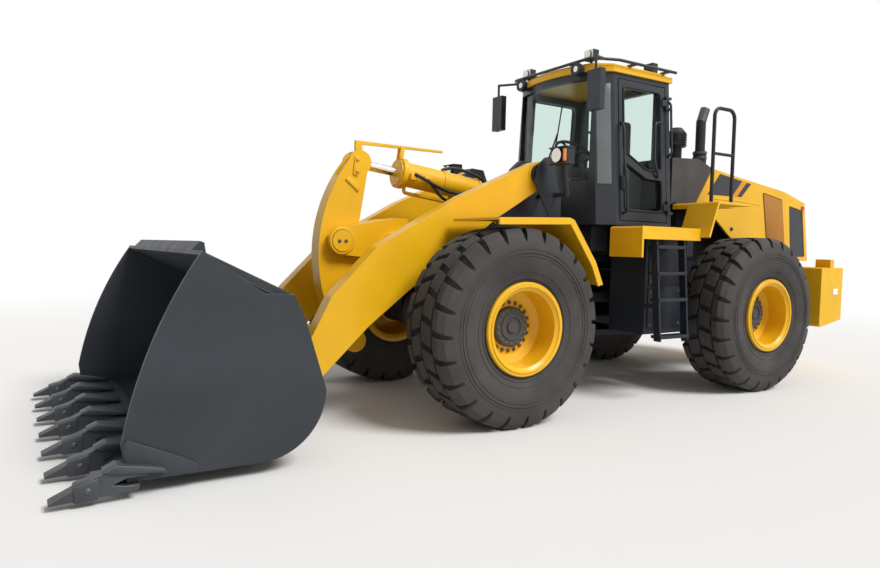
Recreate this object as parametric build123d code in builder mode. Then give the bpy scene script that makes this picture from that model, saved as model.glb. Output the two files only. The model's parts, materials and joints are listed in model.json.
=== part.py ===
"""Articulated wheel loader: bucket, boom with its crank linkage, hinged frames, cab and hood.

Millimetres. +X is forward, +Y is the driver's left, +Z is up. The ground is z = 0 and
the origin lies under the middle of the machine's length.
"""
import os
from math import cos, hypot, pi, radians, sin

from build123d import *

# Wheels and reach
wheelbase = 3250
track = 2180
tyre_radius = 808.5
tyre_width = 597
lug_height = 44
rim_bead_radius = 325
rim_flange_radius = 377
rim_half_width = 285
hub_radius = 165
spindle_radius = 100
bucket_lip = 2900
tooth_length = 387
tip_reach = bucket_lip + tooth_length
tail_reach = 5310

# Fits and gaps
running_gap = 0.05
seat_gap = 0.3
side_gap = 7

# Stations along the machine
front_x = (tail_reach - tip_reach) / 2
rear_x = front_x - wheelbase
hinge_x = front_x - wheelbase / 2
axle_z = tyre_radius


def ahead(x, z):
    """A point of the side view, x forward of the front axle."""
    return (front_x + x, z)


# Pin centres in the side view
boom_pin = ahead(-700, 2130)
crank_pin = ahead(1050, 1478)
crank_top = ahead(850, 2166)
crank_foot = ahead(870, 600)
bucket_pin = ahead(1566, 427)
link_pin_on_bucket = ahead(1600, 800)
tilt_pin = ahead(-735, 1962)
lift_base = ahead(-1040, 1140)
lift_eye = ahead(163, 1346)

# Steering cylinder pins in the plan view, left side
steer_base = (front_x - 2300, 450)
steer_eye = (front_x - 1295, 330)
steer_z = 960

# Widths across the machine
boom_outer = 630
boom_arm = 140
tower_outer = 440
tower_plate = 60
bucket_half = 1450
cab_half_low = 750
cab_half_high = 650
hood_half = 690
frame_outer = 420
frame_plate = 60

# Heights
cab_floor_z = 1700
cab_top_z = 3200
roof_rise = 90
roof_top_z = cab_top_z + roof_rise
platform_z = 1680
fender_top_z = 1950

os.makedirs("parts", exist_ok=True)


def side(y):
    """Side-view plane at y: sketches are drawn as (x, z) and extrude to the right."""
    return Plane((0, y, 0), x_dir=(1, 0, 0), z_dir=(0, -1, 0))


def plate(points, y_left, thickness, rounding=0, mode=Mode.ADD):
    """Flat plate with a side-view outline, from y_left to the right."""
    with BuildSketch(side(y_left)) as face:
        with BuildLine():
            Polyline(*points, close=True)
        make_face()
        if rounding:
            fillet(face.vertices(), rounding)
    extrude(face.sketch, amount=thickness, mode=mode)


def bar(centre, radius, y_left, y_right, mode=Mode.ADD):
    """Round bar across the machine at a side-view point."""
    x, z = centre
    with Locations(Location((x, (y_left + y_right) / 2, z), (90, 0, 0))):
        Cylinder(radius, y_left - y_right, mode=mode)


def post(x, y, radius, low, high, mode=Mode.ADD):
    """Upright round bar."""
    with Locations((x, y, (low + high) / 2)):
        Cylinder(radius, high - low, mode=mode)


def block(low, high, mode=Mode.ADD):
    """Box between two opposite corners."""
    with Locations(tuple((a + b) / 2 for a, b in zip(low, high))):
        Box(*(b - a for a, b in zip(low, high)), mode=mode)


def rod_between(start, end, radius, mode=Mode.ADD):
    """Round rod between two points in space."""
    along = Vector(*end) - Vector(*start)
    with BuildSketch(Plane(start, z_dir=along)) as section:
        Circle(radius)
    extrude(section.sketch, amount=along.length, mode=mode)


def strip(points, thickness, y_left, width, rounding):
    """Sheet bent along a side-view line, thickened to the left of the line's direction."""
    with BuildSketch(side(y_left)) as section:
        with BuildLine():
            FilletPolyline(*points, radius=rounding)
            offset(amount=thickness, side=Side.LEFT)
        make_face()
    extrude(section.sketch, amount=width)


def save(builder, label):
    builder.part.label = label
    export_step(builder.part, f"parts/{label}.step")


# Wheels: tyre on a deep-dished rim with its planetary hub
def wheel_plane(x, y):
    """Half-section plane of a wheel: axial distance outwards, then radius."""
    outward = 1 if y > 0 else -1
    return Plane((x, y, axle_z), x_dir=(0, outward, 0), z_dir=(outward, 0, 0))


tyre_half = tyre_width / 2
bead_half = rim_half_width - 37
lug_count = 24
lug_step = 360 / lug_count
lug_gap = 58
lug_length = 2 * pi * tyre_radius / lug_count - lug_gap
lug_slant = 42
tread_channel = 26
tread_split = 150
crown_half = 60
shoulder_depth = 130
lug_root = tyre_radius - shoulder_depth - 15
lug_rows = (
    (tread_channel / 2, tread_split - tread_channel / 2, 0),
    (tread_split + tread_channel / 2, tyre_half + 10, lug_step / 2),
)
hub_end = 95
spindle_end = -60
wheel_places = {
    "fl": (front_x, track / 2),
    "fr": (front_x, -track / 2),
    "rl": (rear_x, track / 2),
    "rr": (rear_x, -track / 2),
}
with BuildPart() as lug_forms:
    for near, far, row_turn in lug_rows:
        for hand in (1, -1):
            turn = row_turn if hand > 0 else row_turn + lug_step / 2
            seats = [
                Plane.XY.rotated((0, turn + index * lug_step, 0)).offset(lug_root)
                for index in range(lug_count)
            ]
            with BuildSketch(*seats):
                with BuildLine():
                    Polyline(
                        (-lug_length / 2, hand * near),
                        (lug_length / 2, hand * near),
                        (lug_length / 2 + lug_slant, hand * far),
                        (-lug_length / 2 + lug_slant, hand * far),
                        close=True,
                    )
                make_face()
            extrude(amount=shoulder_depth + 30)

# Grooves of the tread: the ring outside the casing, less the lugs
with BuildPart() as grooves:
    with BuildSketch(Plane.YZ):
        with BuildLine():
            Polyline(
                (-tyre_half - 5, tyre_radius - shoulder_depth),
                (85 - tyre_half, tyre_radius - lug_height - 6),
                (0, tyre_radius - lug_height),
                (tyre_half - 85, tyre_radius - lug_height - 6),
                (tyre_half + 5, tyre_radius - shoulder_depth),
                (tyre_half + 5, tyre_radius + 5),
                (-tyre_half - 5, tyre_radius + 5),
                close=True,
            )
        make_face()
    revolve(axis=Axis.Y)
    add(lug_forms.part, mode=Mode.SUBTRACT)

with BuildPart() as tyre_form:
    with BuildSketch(Plane.YZ):
        with BuildLine():
            Polyline(
                (tyre_half - 75, tyre_radius - 6),
                (crown_half, tyre_radius),
                (-crown_half, tyre_radius),
                (75 - tyre_half, tyre_radius - 6),
                (30 - tyre_half, tyre_radius - 50),
            )
            ThreePointArc(
                (30 - tyre_half, tyre_radius - 50),
                (-tyre_half, 0.69 * tyre_radius),
                (-bead_half, rim_flange_radius + 2),
            )
            Polyline(
                (-bead_half, rim_flange_radius + 2),
                (-bead_half, rim_bead_radius + seat_gap),
                (bead_half, rim_bead_radius + seat_gap),
                (bead_half, rim_flange_radius + 2),
            )
            ThreePointArc(
                (bead_half, rim_flange_radius + 2),
                (tyre_half, 0.69 * tyre_radius),
                (tyre_half - 30, tyre_radius - 50),
            )
            Line((tyre_half - 30, tyre_radius - 50), (tyre_half - 75, tyre_radius - 6))
        make_face()
    revolve(axis=Axis.Y)
    add(grooves.part, mode=Mode.SUBTRACT)

for place, (wheel_x, wheel_y) in wheel_places.items():
    spin = Axis((wheel_x, wheel_y, axle_z), (0, 1, 0))

    with BuildPart() as tyre:
        with Locations(Location((wheel_x, wheel_y, axle_z), (0, 0, 0 if wheel_y > 0 else 180))):
            add(tyre_form.part)
    save(tyre, f"wheel_{place}_tyre")

    with BuildPart() as rim:
        barrel_in = rim_bead_radius - 25
        with BuildSketch(wheel_plane(wheel_x, wheel_y)):
            with BuildLine():
                Polyline(
                    (spindle_end, 0),
                    (hub_end, 0),
                    (hub_end, hub_radius - 15),
                    (hub_end - 12, hub_radius),
                    (50, hub_radius),
                    (45, hub_radius + 65),
                    (70, barrel_in),
                    (rim_half_width - 22, barrel_in + 6),
                    (rim_half_width, rim_flange_radius - 40),
                    (rim_half_width, rim_flange_radius - 8),
                    (rim_half_width - 8, rim_flange_radius),
                    (bead_half + 6, rim_flange_radius),
                    (bead_half + 2, rim_flange_radius - 12),
                    (bead_half + 2, rim_bead_radius),
                    (-bead_half - 2, rim_bead_radius),
                    (-bead_half - 2, rim_flange_radius - 12),
                    (-bead_half - 6, rim_flange_radius),
                    (-rim_half_width, rim_flange_radius),
                    (-rim_half_width, rim_flange_radius - 40),
                    (22 - rim_half_width, barrel_in + 6),
                    (20, barrel_in),
                    (10, hub_radius + 65),
                    (15, hub_radius),
                    (55 - rim_half_width, hub_radius),
                    (55 - rim_half_width, spindle_radius + running_gap),
                    (spindle_end, spindle_radius + running_gap),
                    close=True,
                )
            make_face()
        revolve(axis=spin)
    save(rim, f"wheel_{place}_rim")

# Axles: banjo housing, spindles, mounting pads and the drive shaft's half
axle_tube = 150
banjo_radius = 300
pad_top = 1000
hub_face = track / 2 - rim_half_width + 40
spindle_tip = track / 2 + spindle_end - 2


def axle_housing(x, shaft_end, pad_y):
    """Axle at station x, with a drive shaft running to shaft_end."""
    with BuildSketch(Plane((x, 0, axle_z), x_dir=(0, 1, 0), z_dir=(1, 0, 0))) as half:
        with BuildLine():
            Polyline(
                (-spindle_tip, 0),
                (-spindle_tip, spindle_radius),
                (-hub_face, spindle_radius),
                (-hub_face, axle_tube),
                (-banjo_radius - 40, axle_tube),
            )
            ThreePointArc(
                (-banjo_radius - 40, axle_tube),
                (0, banjo_radius),
                (banjo_radius + 40, axle_tube),
            )
            Polyline(
                (banjo_radius + 40, axle_tube),
                (hub_face, axle_tube),
                (hub_face, spindle_radius),
                (spindle_tip, spindle_radius),
                (spindle_tip, 0),
                (-spindle_tip, 0),
            )
        make_face()
    revolve(half.sketch, axis=Axis((x, 0, axle_z), (0, 1, 0)))
    for y in (pad_y, -pad_y):
        block((x - 170, y - 45, axle_z), (x + 170, y + 45, pad_top))
    rod_between((x, 0, axle_z), (shaft_end, 0, axle_z), shaft_radius)


shaft_gap = 70
shaft_radius = 50
gearbox_rear = rear_x + 555
with BuildPart() as front_axle:
    axle_housing(front_x, hinge_x + shaft_gap, tower_outer - tower_plate / 2)
save(front_axle, "front_axle")

with BuildPart() as rear_axle:
    axle_housing(rear_x, gearbox_rear, frame_outer - frame_plate / 2)
save(rear_axle, "rear_axle")

# Frame hinge: two tongues on the front frame between forks on the rear frame
hinge_radius = 160
hinge_pin_radius = 60
tongue_thickness = 80
fork_thickness = 60
upper_tongue_z = 1240
lower_tongue_z = 600
layer_gap = 5


def hinge_layer(low, thickness, root_x, root_half):
    """Horizontal hinge plate from the pivot to root_x."""
    with BuildSketch(Plane.XY.offset(low)) as layer:
        with BuildLine():
            Polyline(
                (hinge_x, hinge_radius),
                (root_x, root_half),
                (root_x, -root_half),
                (hinge_x, -hinge_radius),
                close=True,
            )
        make_face()
        with Locations((hinge_x, 0)):
            Circle(hinge_radius)
    extrude(layer.sketch, amount=thickness)


# Front frame: two tower plates tied by bulkheads, with the pins that carry boom and cylinders
boom_pin_radius = 65
boom_boss = 120
arm_inner = boom_outer - boom_arm
lift_pin_radius = 45
lift_y = boom_outer - boom_arm / 2
lift_radius = 84
lift_rod_radius = 45
front_bulkhead_x = front_x - 1180
tilt_pin_radius = 50
tilt_eye_half = 70
tilt_lug = 45
steer_pin_radius = 30
steer_eye_half = 38
steer_lug = 28
tower_outline = [
    ahead(330, pad_top),
    ahead(330, 1150),
    ahead(-200, 1620),
    (boom_pin[0] + 150, boom_pin[1] + 60),
    (boom_pin[0] + 60, boom_pin[1] + 140),
    (boom_pin[0] - 90, boom_pin[1] + 130),
    (boom_pin[0] - 160, boom_pin[1] - 30),
    (lift_base[0] - 130, lift_base[1] + 130),
    (lift_base[0] - 140, lift_base[1] - 200),
    ahead(-1180, lower_tongue_z),
    ahead(-760, lower_tongue_z),
    ahead(-300, pad_top),
]

with BuildPart() as front_frame:
    for y_left in (tower_outer, tower_plate - tower_outer):
        plate(tower_outline, y_left, tower_plate, rounding=25)
    inner = tower_outer - tower_plate
    block((front_bulkhead_x, -inner, lower_tongue_z), (front_bulkhead_x + 60, inner, 1320))
    rod_between(
        (front_bulkhead_x - 5, 0, axle_z),
        (front_bulkhead_x + 65, 0, axle_z),
        shaft_radius + 15,
        Mode.SUBTRACT,
    )
    block((front_x - 330, -inner, pad_top + 115), (front_x + 260, inner, pad_top + 165))
    plate(
        [ahead(-1000, 1330), ahead(-940, 1330), ahead(-850, 1900), ahead(-910, 1900)],
        inner,
        2 * inner,
    )
    for low, thickness in ((upper_tongue_z, tongue_thickness), (lower_tongue_z, tongue_thickness)):
        hinge_layer(low, thickness, front_bulkhead_x, inner)
        post(hinge_x, 0, hinge_pin_radius + running_gap, low, low + thickness, Mode.SUBTRACT)
    for sign in (1, -1):
        tower_y = sign * (tower_outer - 10)
        for centre, boss, pin, near, far in (
            (boom_pin, boom_boss, boom_pin_radius, arm_inner, boom_outer),
            (lift_base, 75, lift_pin_radius, lift_y - lift_radius, lift_y + lift_radius),
        ):
            boss_y = sign * (near - side_gap)
            bar(centre, boss, max(tower_y, boss_y), min(tower_y, boss_y))
            cap_y = sign * (far + side_gap)
            end_y = cap_y + sign * 25
            bar(centre, pin, max(tower_y, end_y), min(tower_y, end_y))
            bar(centre, boss - 20, max(cap_y, end_y), min(cap_y, end_y))
        lug_y = sign * (tilt_eye_half + side_gap)
        lug_end = lug_y + sign * tilt_lug
        plate(
            [
                (tilt_pin[0] - 190, tilt_pin[1] - 130),
                (tilt_pin[0] - 60, tilt_pin[1] - 130),
                (tilt_pin[0] + 80, tilt_pin[1] - 40),
                (tilt_pin[0] + 80, tilt_pin[1] + 50),
                (tilt_pin[0] + 20, tilt_pin[1] + 85),
                (tilt_pin[0] - 70, tilt_pin[1] + 70),
            ],
            max(lug_y, lug_end),
            tilt_lug,
            rounding=20,
        )
        lug_centre = (lug_y + lug_end) / 2
        bar(tilt_pin, tilt_pin_radius + running_gap, lug_centre + 40, lug_centre - 40, Mode.SUBTRACT)
        eye_x, eye_y = steer_eye[0], sign * steer_eye[1]
        for low in (steer_z + steer_eye_half + side_gap, steer_z - steer_eye_half - side_gap - steer_lug):
            block((eye_x, eye_y - 60, low), (front_bulkhead_x + 10, eye_y + 60, low + steer_lug))
            post(eye_x, eye_y, 60, low, low + steer_lug)
save(front_frame, "front_frame")

# Boom: two profiled arms on a cross tube, with the crank's pivot cheeks
cross_tube = ahead(540, 1430)
cross_tube_radius = 140
crank_half = 80
crank_pin_radius = 70
bucket_pin_radius = 50
cheek = 70
lift_eye_half = 38
lift_slot = 250
with BuildPart() as boom:
    for sign in (1, -1):
        left = boom_outer if sign > 0 else -arm_inner
        with BuildSketch(side(left)) as arm:
            with BuildLine():
                Polyline(
                    (boom_pin[0] + 40, boom_pin[1] + boom_boss - 7),
                    ahead(152, 1883),
                    ahead(659, 1600),
                    ahead(951, 1433),
                    ahead(1336, 1043),
                    ahead(1490, 745),
                    (bucket_pin[0] + 112, bucket_pin[1] + 30),
                    (bucket_pin[0] - 85, bucket_pin[1] - 78),
                    ahead(1010, 800),
                    ahead(648, 1081),
                    ahead(-250, 1722),
                    (boom_pin[0] - 60, boom_pin[1] - boom_boss + 16),
                    close=True,
                )
            make_face()
            inner_corners = arm.vertices().sort_by(Axis.X)[2:-2]
            fillet(inner_corners, 120)
            for centre, radius in ((boom_pin, boom_boss), (bucket_pin, 115), (lift_eye, 85)):
                with Locations(centre):
                    Circle(radius)
            with Locations(boom_pin):
                Circle(boom_pin_radius + running_gap, mode=Mode.SUBTRACT)
            with Locations(bucket_pin):
                Circle(bucket_pin_radius + running_gap, mode=Mode.SUBTRACT)
        extrude(arm.sketch, amount=boom_arm)
        slot_y = sign * lift_y
        slot_half = lift_rod_radius + side_gap
        bar(lift_eye, lift_slot, slot_y + slot_half, slot_y - slot_half, Mode.SUBTRACT)
        cheek_y = sign * (crank_half + side_gap)
        cheek_left = max(cheek_y, cheek_y + sign * cheek)
        plate(
            [
                (crank_pin[0] + 20, crank_pin[1] + 118),
                (crank_pin[0] + 110, crank_pin[1] + 40),
                (crank_pin[0] + 100, crank_pin[1] - 60),
                (crank_pin[0] + 20, crank_pin[1] - 118),
                (cross_tube[0] + 60, cross_tube[1] - 110),
                (cross_tube[0] - 120, cross_tube[1] + 40),
                ahead(400, 1690),
                ahead(560, 1690),
            ],
            cheek_left,
            cheek,
            rounding=30,
        )
    bar(cross_tube, cross_tube_radius, arm_inner + 10, -arm_inner - 10)
    bar(crank_pin, crank_pin_radius + running_gap, 200, -200, Mode.SUBTRACT)
save(boom, "boom")

with BuildPart() as crank_shaft:
    pin_end = crank_half + side_gap + cheek
    bar(crank_pin, crank_pin_radius, pin_end + 6, -pin_end - 6)
    for sign in (1, -1):
        cap_low = sign * (pin_end + 6)
        cap_high = sign * (pin_end + 22)
        bar(crank_pin, crank_pin_radius + 22, max(cap_low, cap_high), min(cap_low, cap_high))
save(crank_shaft, "crank_pin")

# Crank: thick bowed lever, forked at its top for the tilt rod and at its foot for the link
fork_half = 46
link_pin_radius = 45
with BuildPart() as crank:
    with BuildSketch(side(crank_half)) as lever:
        with BuildLine():
            ThreePointArc(
                (crank_top[0] + 100, crank_top[1] + 20),
                (crank_pin[0] + 176, crank_pin[1] - 10),
                (crank_foot[0] + 100, crank_foot[1] - 20),
            )
            Polyline(
                (crank_foot[0] + 100, crank_foot[1] - 20),
                (crank_foot[0] - 80, crank_foot[1] + 60),
                (crank_pin[0] - 190, crank_pin[1] - 150),
                (crank_pin[0] - 193, crank_pin[1] + 158),
                (crank_top[0] - 70, crank_top[1] - 60),
                (crank_top[0] + 100, crank_top[1] + 20),
            )
        make_face()
        for centre, radius in ((crank_top, 105), (crank_foot, 100)):
            with Locations(centre):
                Circle(radius)
        with Locations(crank_pin):
            Circle(crank_pin_radius + running_gap, mode=Mode.SUBTRACT)
    extrude(lever.sketch, amount=2 * crank_half)
    bar(crank_top, 230, fork_half, -fork_half, Mode.SUBTRACT)
    bar(crank_foot, 300, fork_half, -fork_half, Mode.SUBTRACT)
save(crank, "crank")

with BuildPart() as link_shaft:
    bar(link_pin_on_bucket, link_pin_radius, crank_half + 12, -crank_half - 12)
save(link_shaft, "link_pin")

link_half = fork_half - side_gap
link_depth = 46
with BuildPart() as link:
    run = (link_pin_on_bucket[0] - crank_foot[0], link_pin_on_bucket[1] - crank_foot[1])
    link_length = hypot(*run)
    normal = (-run[1] / link_length * link_depth, run[0] / link_length * link_depth)
    plate(
        [
            (crank_foot[0] + normal[0], crank_foot[1] + normal[1]),
            (crank_foot[0] - normal[0], crank_foot[1] - normal[1]),
            (link_pin_on_bucket[0] - normal[0], link_pin_on_bucket[1] - normal[1]),
            (link_pin_on_bucket[0] + normal[0], link_pin_on_bucket[1] + normal[1]),
        ],
        link_half,
        2 * link_half,
    )
    bar(crank_foot, 78, link_half, -link_half)
    bar(link_pin_on_bucket, 78, link_half, -link_half)
    bar(link_pin_on_bucket, link_pin_radius + running_gap, 100, -100, Mode.SUBTRACT)
save(link, "link")

# Bucket: rolled wrapper between two side plates, cutting edge, hinge ears and spill guard
wrapper = 28
side_plate = 30
heel_radius = 422
floor_z = 88
heel_centre = ahead(2135, floor_z + heel_radius)
heel_foot = (heel_centre[0], floor_z)
heel_middle = (
    heel_centre[0] - heel_radius * sin(radians(45)),
    heel_centre[1] - heel_radius * cos(radians(45)),
)
heel_back = (heel_centre[0] - heel_radius, heel_centre[1])
lip_apex = ahead(2494, 1394)
ear = 40
link_ear = crank_half - fork_half
ear_inner = arm_inner - side_gap
with BuildPart() as bucket:
    with BuildSketch(side(bucket_half - side_plate)) as wall:
        with BuildLine():
            Line(ahead(bucket_lip, floor_z), heel_foot)
            ThreePointArc(heel_foot, heel_middle, heel_back)
            Polyline(heel_back, ahead(1861, 978), ahead(1936, 1128), lip_apex)
            offset(amount=wrapper, side=Side.RIGHT)
        make_face()
    extrude(wall.sketch, amount=2 * (bucket_half - side_plate))
    plate(
        [
            ahead(bucket_lip - 280, floor_z),
            ahead(bucket_lip, floor_z),
            ahead(bucket_lip + 75, floor_z + 12),
            ahead(bucket_lip, floor_z + 45),
            ahead(bucket_lip - 280, floor_z + 45),
        ],
        bucket_half - side_plate,
        2 * (bucket_half - side_plate),
    )
    for left in (bucket_half, side_plate - bucket_half):
        with BuildSketch(side(left)) as cheek_plate:
            with BuildLine():
                Polyline(heel_foot, ahead(bucket_lip, floor_z), ahead(bucket_lip + 30, 300))
                ThreePointArc(ahead(bucket_lip + 30, 300), ahead(2797, 793), lip_apex)
                Polyline(lip_apex, ahead(2124, 1138), ahead(1936, 1128), ahead(1861, 978), heel_back)
                ThreePointArc(heel_back, heel_middle, heel_foot)
            make_face()
        extrude(cheek_plate.sketch, amount=side_plate)
    plate(
        [ahead(2400, 1345), ahead(2494, 1394), ahead(2440, 1450), ahead(2415, 1440)],
        1150,
        2300,
    )
    for sign in (1, -1):
        for near in (ear_inner, boom_outer + side_gap + ear):
            left = near if sign > 0 else ear - near
            plate(
                [
                    (bucket_pin[0] - 70, bucket_pin[1] + 80),
                    (bucket_pin[0] - 70, bucket_pin[1] - 60),
                    (bucket_pin[0] + 60, bucket_pin[1] - 100),
                    ahead(1900, 230),
                    ahead(1760, 640),
                ],
                left,
                ear,
                rounding=30,
            )
            centre = left - ear / 2
            bar(bucket_pin, bucket_pin_radius + running_gap, centre + ear, centre - ear, Mode.SUBTRACT)
        left = fork_half + link_ear if sign > 0 else -fork_half
        plate(
            [
                (link_pin_on_bucket[0] - 110, link_pin_on_bucket[1] + 90),
                (link_pin_on_bucket[0] - 120, link_pin_on_bucket[1] - 60),
                (link_pin_on_bucket[0] - 40, link_pin_on_bucket[1] - 150),
                ahead(1745, 600),
                ahead(1875, 980),
                (link_pin_on_bucket[0] - 10, link_pin_on_bucket[1] + 150),
            ],
            left,
            link_ear,
            rounding=25,
        )
    bar(link_pin_on_bucket, link_pin_radius + running_gap, 150, -150, Mode.SUBTRACT)
save(bucket, "bucket")

with BuildPart() as bucket_pins:
    for sign in (1, -1):
        inner_y = sign * (ear_inner - ear - 8)
        outer_y = sign * (boom_outer + side_gap + ear + 8)
        bar(bucket_pin, bucket_pin_radius, max(inner_y, outer_y), min(inner_y, outer_y))
save(bucket_pins, "bucket_pins")

# Teeth: adapters clamped over the cutting edge, each with a pointed tip
tooth_count = 7
tooth_half = 45
tooth_pitch = 2 * (bucket_half + 7) / (tooth_count - 1)
edge_top = floor_z + 45
with BuildPart() as teeth:
    for index in range(tooth_count):
        y = (index - (tooth_count - 1) / 2) * tooth_pitch
        outline = [
            ahead(bucket_lip - 100, edge_top + seat_gap),
            ahead(bucket_lip + 5, edge_top + seat_gap),
            ahead(bucket_lip + 82, floor_z + 15),
            ahead(bucket_lip + 5, floor_z - seat_gap),
            ahead(bucket_lip - 60, floor_z - seat_gap),
            ahead(bucket_lip - 50, floor_z - 33),
            ahead(bucket_lip + 120, floor_z - 40),
            ahead(tip_reach, 38),
            ahead(tip_reach, 52),
            ahead(bucket_lip + 180, 150),
            ahead(bucket_lip + 60, 205),
            ahead(bucket_lip - 70, 180),
        ]
        plate(outline, y + tooth_half, 2 * tooth_half)
    add(bucket.part, mode=Mode.SUBTRACT)
save(teeth, "bucket_teeth")


# Cylinders: a barrel with an eye at its base, and a rod that slides out of it
def barrel(start, end, radius, neck, body_start, gland, bore_radius, bore_end):
    """Cylinder body on a neck from the base pin, then the tube to its gland, bored for the rod."""
    along = (Vector(*end) - Vector(*start)).normalized()
    base = Vector(*start)
    rod_between(base, base + along * (body_start + 5), neck)
    rod_between(base + along * body_start, base + along * gland, radius)
    rod_between((base + along * (gland - 70)), (base + along * (gland - 1)), radius + 6)
    rod_between(
        (base + along * bore_end),
        (base + along * (gland + 5)),
        bore_radius,
        Mode.SUBTRACT,
    )


def rod(start, end, radius, from_base, stop):
    """Piston rod between two distances from the base pin."""
    along = (Vector(*end) - Vector(*start)).normalized()
    base = Vector(*start)
    rod_between((base + along * from_base), (base + along * stop), radius)


def upright(point, y):
    """Side-view point placed in space."""
    return (point[0], y, point[1])


tilt_rod_radius = 42
tilt_radius = 112
tilt_gland = 1205
tilt_length = hypot(crank_top[0] - tilt_pin[0], crank_top[1] - tilt_pin[1])
with BuildPart() as tilt_barrel:
    bar(tilt_pin, 88, tilt_eye_half, -tilt_eye_half)
    barrel(
        upright(tilt_pin, 0), upright(crank_top, 0), tilt_radius, 66, 130, tilt_gland,
        tilt_rod_radius + running_gap, 480,
    )
    bar(tilt_pin, tilt_pin_radius + running_gap, 200, -200, Mode.SUBTRACT)
save(tilt_barrel, "tilt_barrel")

with BuildPart() as tilt_base_pin:
    end = tilt_eye_half + side_gap + tilt_lug + 12
    bar(tilt_pin, tilt_pin_radius, end, -end)
save(tilt_base_pin, "tilt_pin")

tilt_eye_radius = 82
with BuildPart() as tilt_rod:
    rod(upright(tilt_pin, 0), upright(crank_top, 0), tilt_rod_radius, tilt_gland - 390, tilt_length - 20)
    bar(crank_top, tilt_eye_radius, fork_half - side_gap, side_gap - fork_half)
save(tilt_rod, "tilt_rod")

with BuildPart() as level_bar:
    plate(
        [
            (crank_top[0] - 60, crank_top[1] + 60),
            (crank_top[0] + 20, crank_top[1] + 80),
            (crank_top[0] + 20, crank_top[1] + 196),
            (crank_top[0] - 880, crank_top[1] + 185),
            (crank_top[0] - 880, crank_top[1] + 165),
            (crank_top[0] - 40, crank_top[1] + 165),
        ],
        15,
        30,
    )
    bar(crank_top, tilt_eye_radius + seat_gap, 60, -60, Mode.SUBTRACT)
save(level_bar, "level_bar")

lift_length = hypot(lift_eye[0] - lift_base[0], lift_eye[1] - lift_base[1])
lift_gland = lift_length - 140
with BuildPart() as lift_barrels:
    for sign in (1, -1):
        y = sign * lift_y
        bar(lift_base, 78, y + lift_radius - 8, y - lift_radius + 8)
        barrel(
            upright(lift_base, y), upright(lift_eye, y), lift_radius, 70, 60, lift_gland,
            lift_rod_radius + running_gap, 58,
        )
        bar(lift_base, lift_pin_radius + running_gap, y + 100, y - 100, Mode.SUBTRACT)
save(lift_barrels, "lift_barrels")

with BuildPart() as lift_rods:
    for sign in (1, -1):
        y = sign * lift_y
        rod(upright(lift_base, y), upright(lift_eye, y), lift_rod_radius, lift_gland - 985, lift_length - 20)
        bar(lift_eye, 75, y + lift_eye_half, y - lift_eye_half)
save(lift_rods, "lift_rods")

steer_radius = 55
steer_rod_radius = 28
steer_gland = 670
steer_length = hypot(steer_eye[0] - steer_base[0], steer_eye[1] - steer_base[1])
for sign, hand in ((1, "left"), (-1, "right")):
    base_point = (steer_base[0], sign * steer_base[1], steer_z)
    eye_point = (steer_eye[0], sign * steer_eye[1], steer_z)
    with BuildPart() as steer_barrel:
        post(base_point[0], base_point[1], 58, steer_z - steer_eye_half, steer_z + steer_eye_half)
        barrel(
            base_point, eye_point, steer_radius, 30, 75, steer_gland, steer_rod_radius + running_gap, 140
        )
        post(
            base_point[0], base_point[1], steer_pin_radius + running_gap,
            steer_z - 100, steer_z + 100, Mode.SUBTRACT,
        )
    save(steer_barrel, f"steer_barrel_{hand}")

    with BuildPart() as steer_rod:
        rod(base_point, eye_point, steer_rod_radius, steer_gland - 250, steer_length - 20)
        post(eye_point[0], eye_point[1], 55, steer_z - steer_eye_half, steer_z + steer_eye_half)
    save(steer_rod, f"steer_rod_{hand}")

# Rear frame: forks of the hinge, two long side plates, cross beams and the side tanks
beam_low = 1400
beam_high = 1560
frame_front = front_x - 2350
cw_front = front_x - 4576
frame_rear = cw_front
tank_front = front_x - 1760
tank_rear = front_x - 2320
beam_stations = (front_x - 1860, front_x - 2400)
with BuildPart() as rear_frame:
    upper = upper_tongue_z
    lower = lower_tongue_z
    for low in (
        upper + tongue_thickness + layer_gap,
        upper - layer_gap - fork_thickness,
        lower + tongue_thickness + layer_gap,
        lower - layer_gap - fork_thickness,
    ):
        hinge_layer(low, fork_thickness, frame_front - 60, frame_outer)
    for middle in (upper, lower):
        post(
            hinge_x, 0, hinge_pin_radius,
            middle - layer_gap - 40, middle + tongue_thickness + layer_gap + 40,
        )
    for left in (frame_outer, frame_plate - frame_outer):
        plate(
            [
                (frame_front, lower - layer_gap - fork_thickness),
                (frame_front, 1385),
                (rear_x - 700, 1300),
                (frame_rear, 1300),
                (frame_rear, 700),
                (rear_x - 420, 700),
                (rear_x - 260, pad_top),
                (rear_x + 260, pad_top),
                (rear_x + 420, lower - layer_gap - fork_thickness),
            ],
            left,
            frame_plate,
        )
    for x in beam_stations:
        block((x - 50, -1000, beam_low), (x + 50, 1000, beam_high))
    for y in (-300, 300):
        block(
            (beam_stations[1], y - 50, 1385), (beam_stations[0], y + 50, beam_high)
        )
        for x in beam_stations:
            post(x, 2 * y, 55, beam_high, cab_floor_z)
    block((frame_rear, -frame_outer, 750), (frame_rear + 60, frame_outer, 1300))
    for sign in (1, -1):
        inner_y = sign * 545
        outer_y = sign * 1000
        block(
            (tank_rear, min(inner_y, outer_y), 640), (tank_front, max(inner_y, outer_y), beam_high)
        )
        base_x, base_y = steer_base[0], sign * steer_base[1]
        for low in (steer_z + steer_eye_half + side_gap, steer_z - steer_eye_half - side_gap - steer_lug):
            block((frame_front - 60, base_y - 60, low), (base_x, base_y + 60, low + steer_lug))
            post(base_x, base_y, 60, low, low + steer_lug)
        post(base_x, base_y, steer_pin_radius, steer_z - 70, steer_z + 70)
save(rear_frame, "rear_frame")

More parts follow.
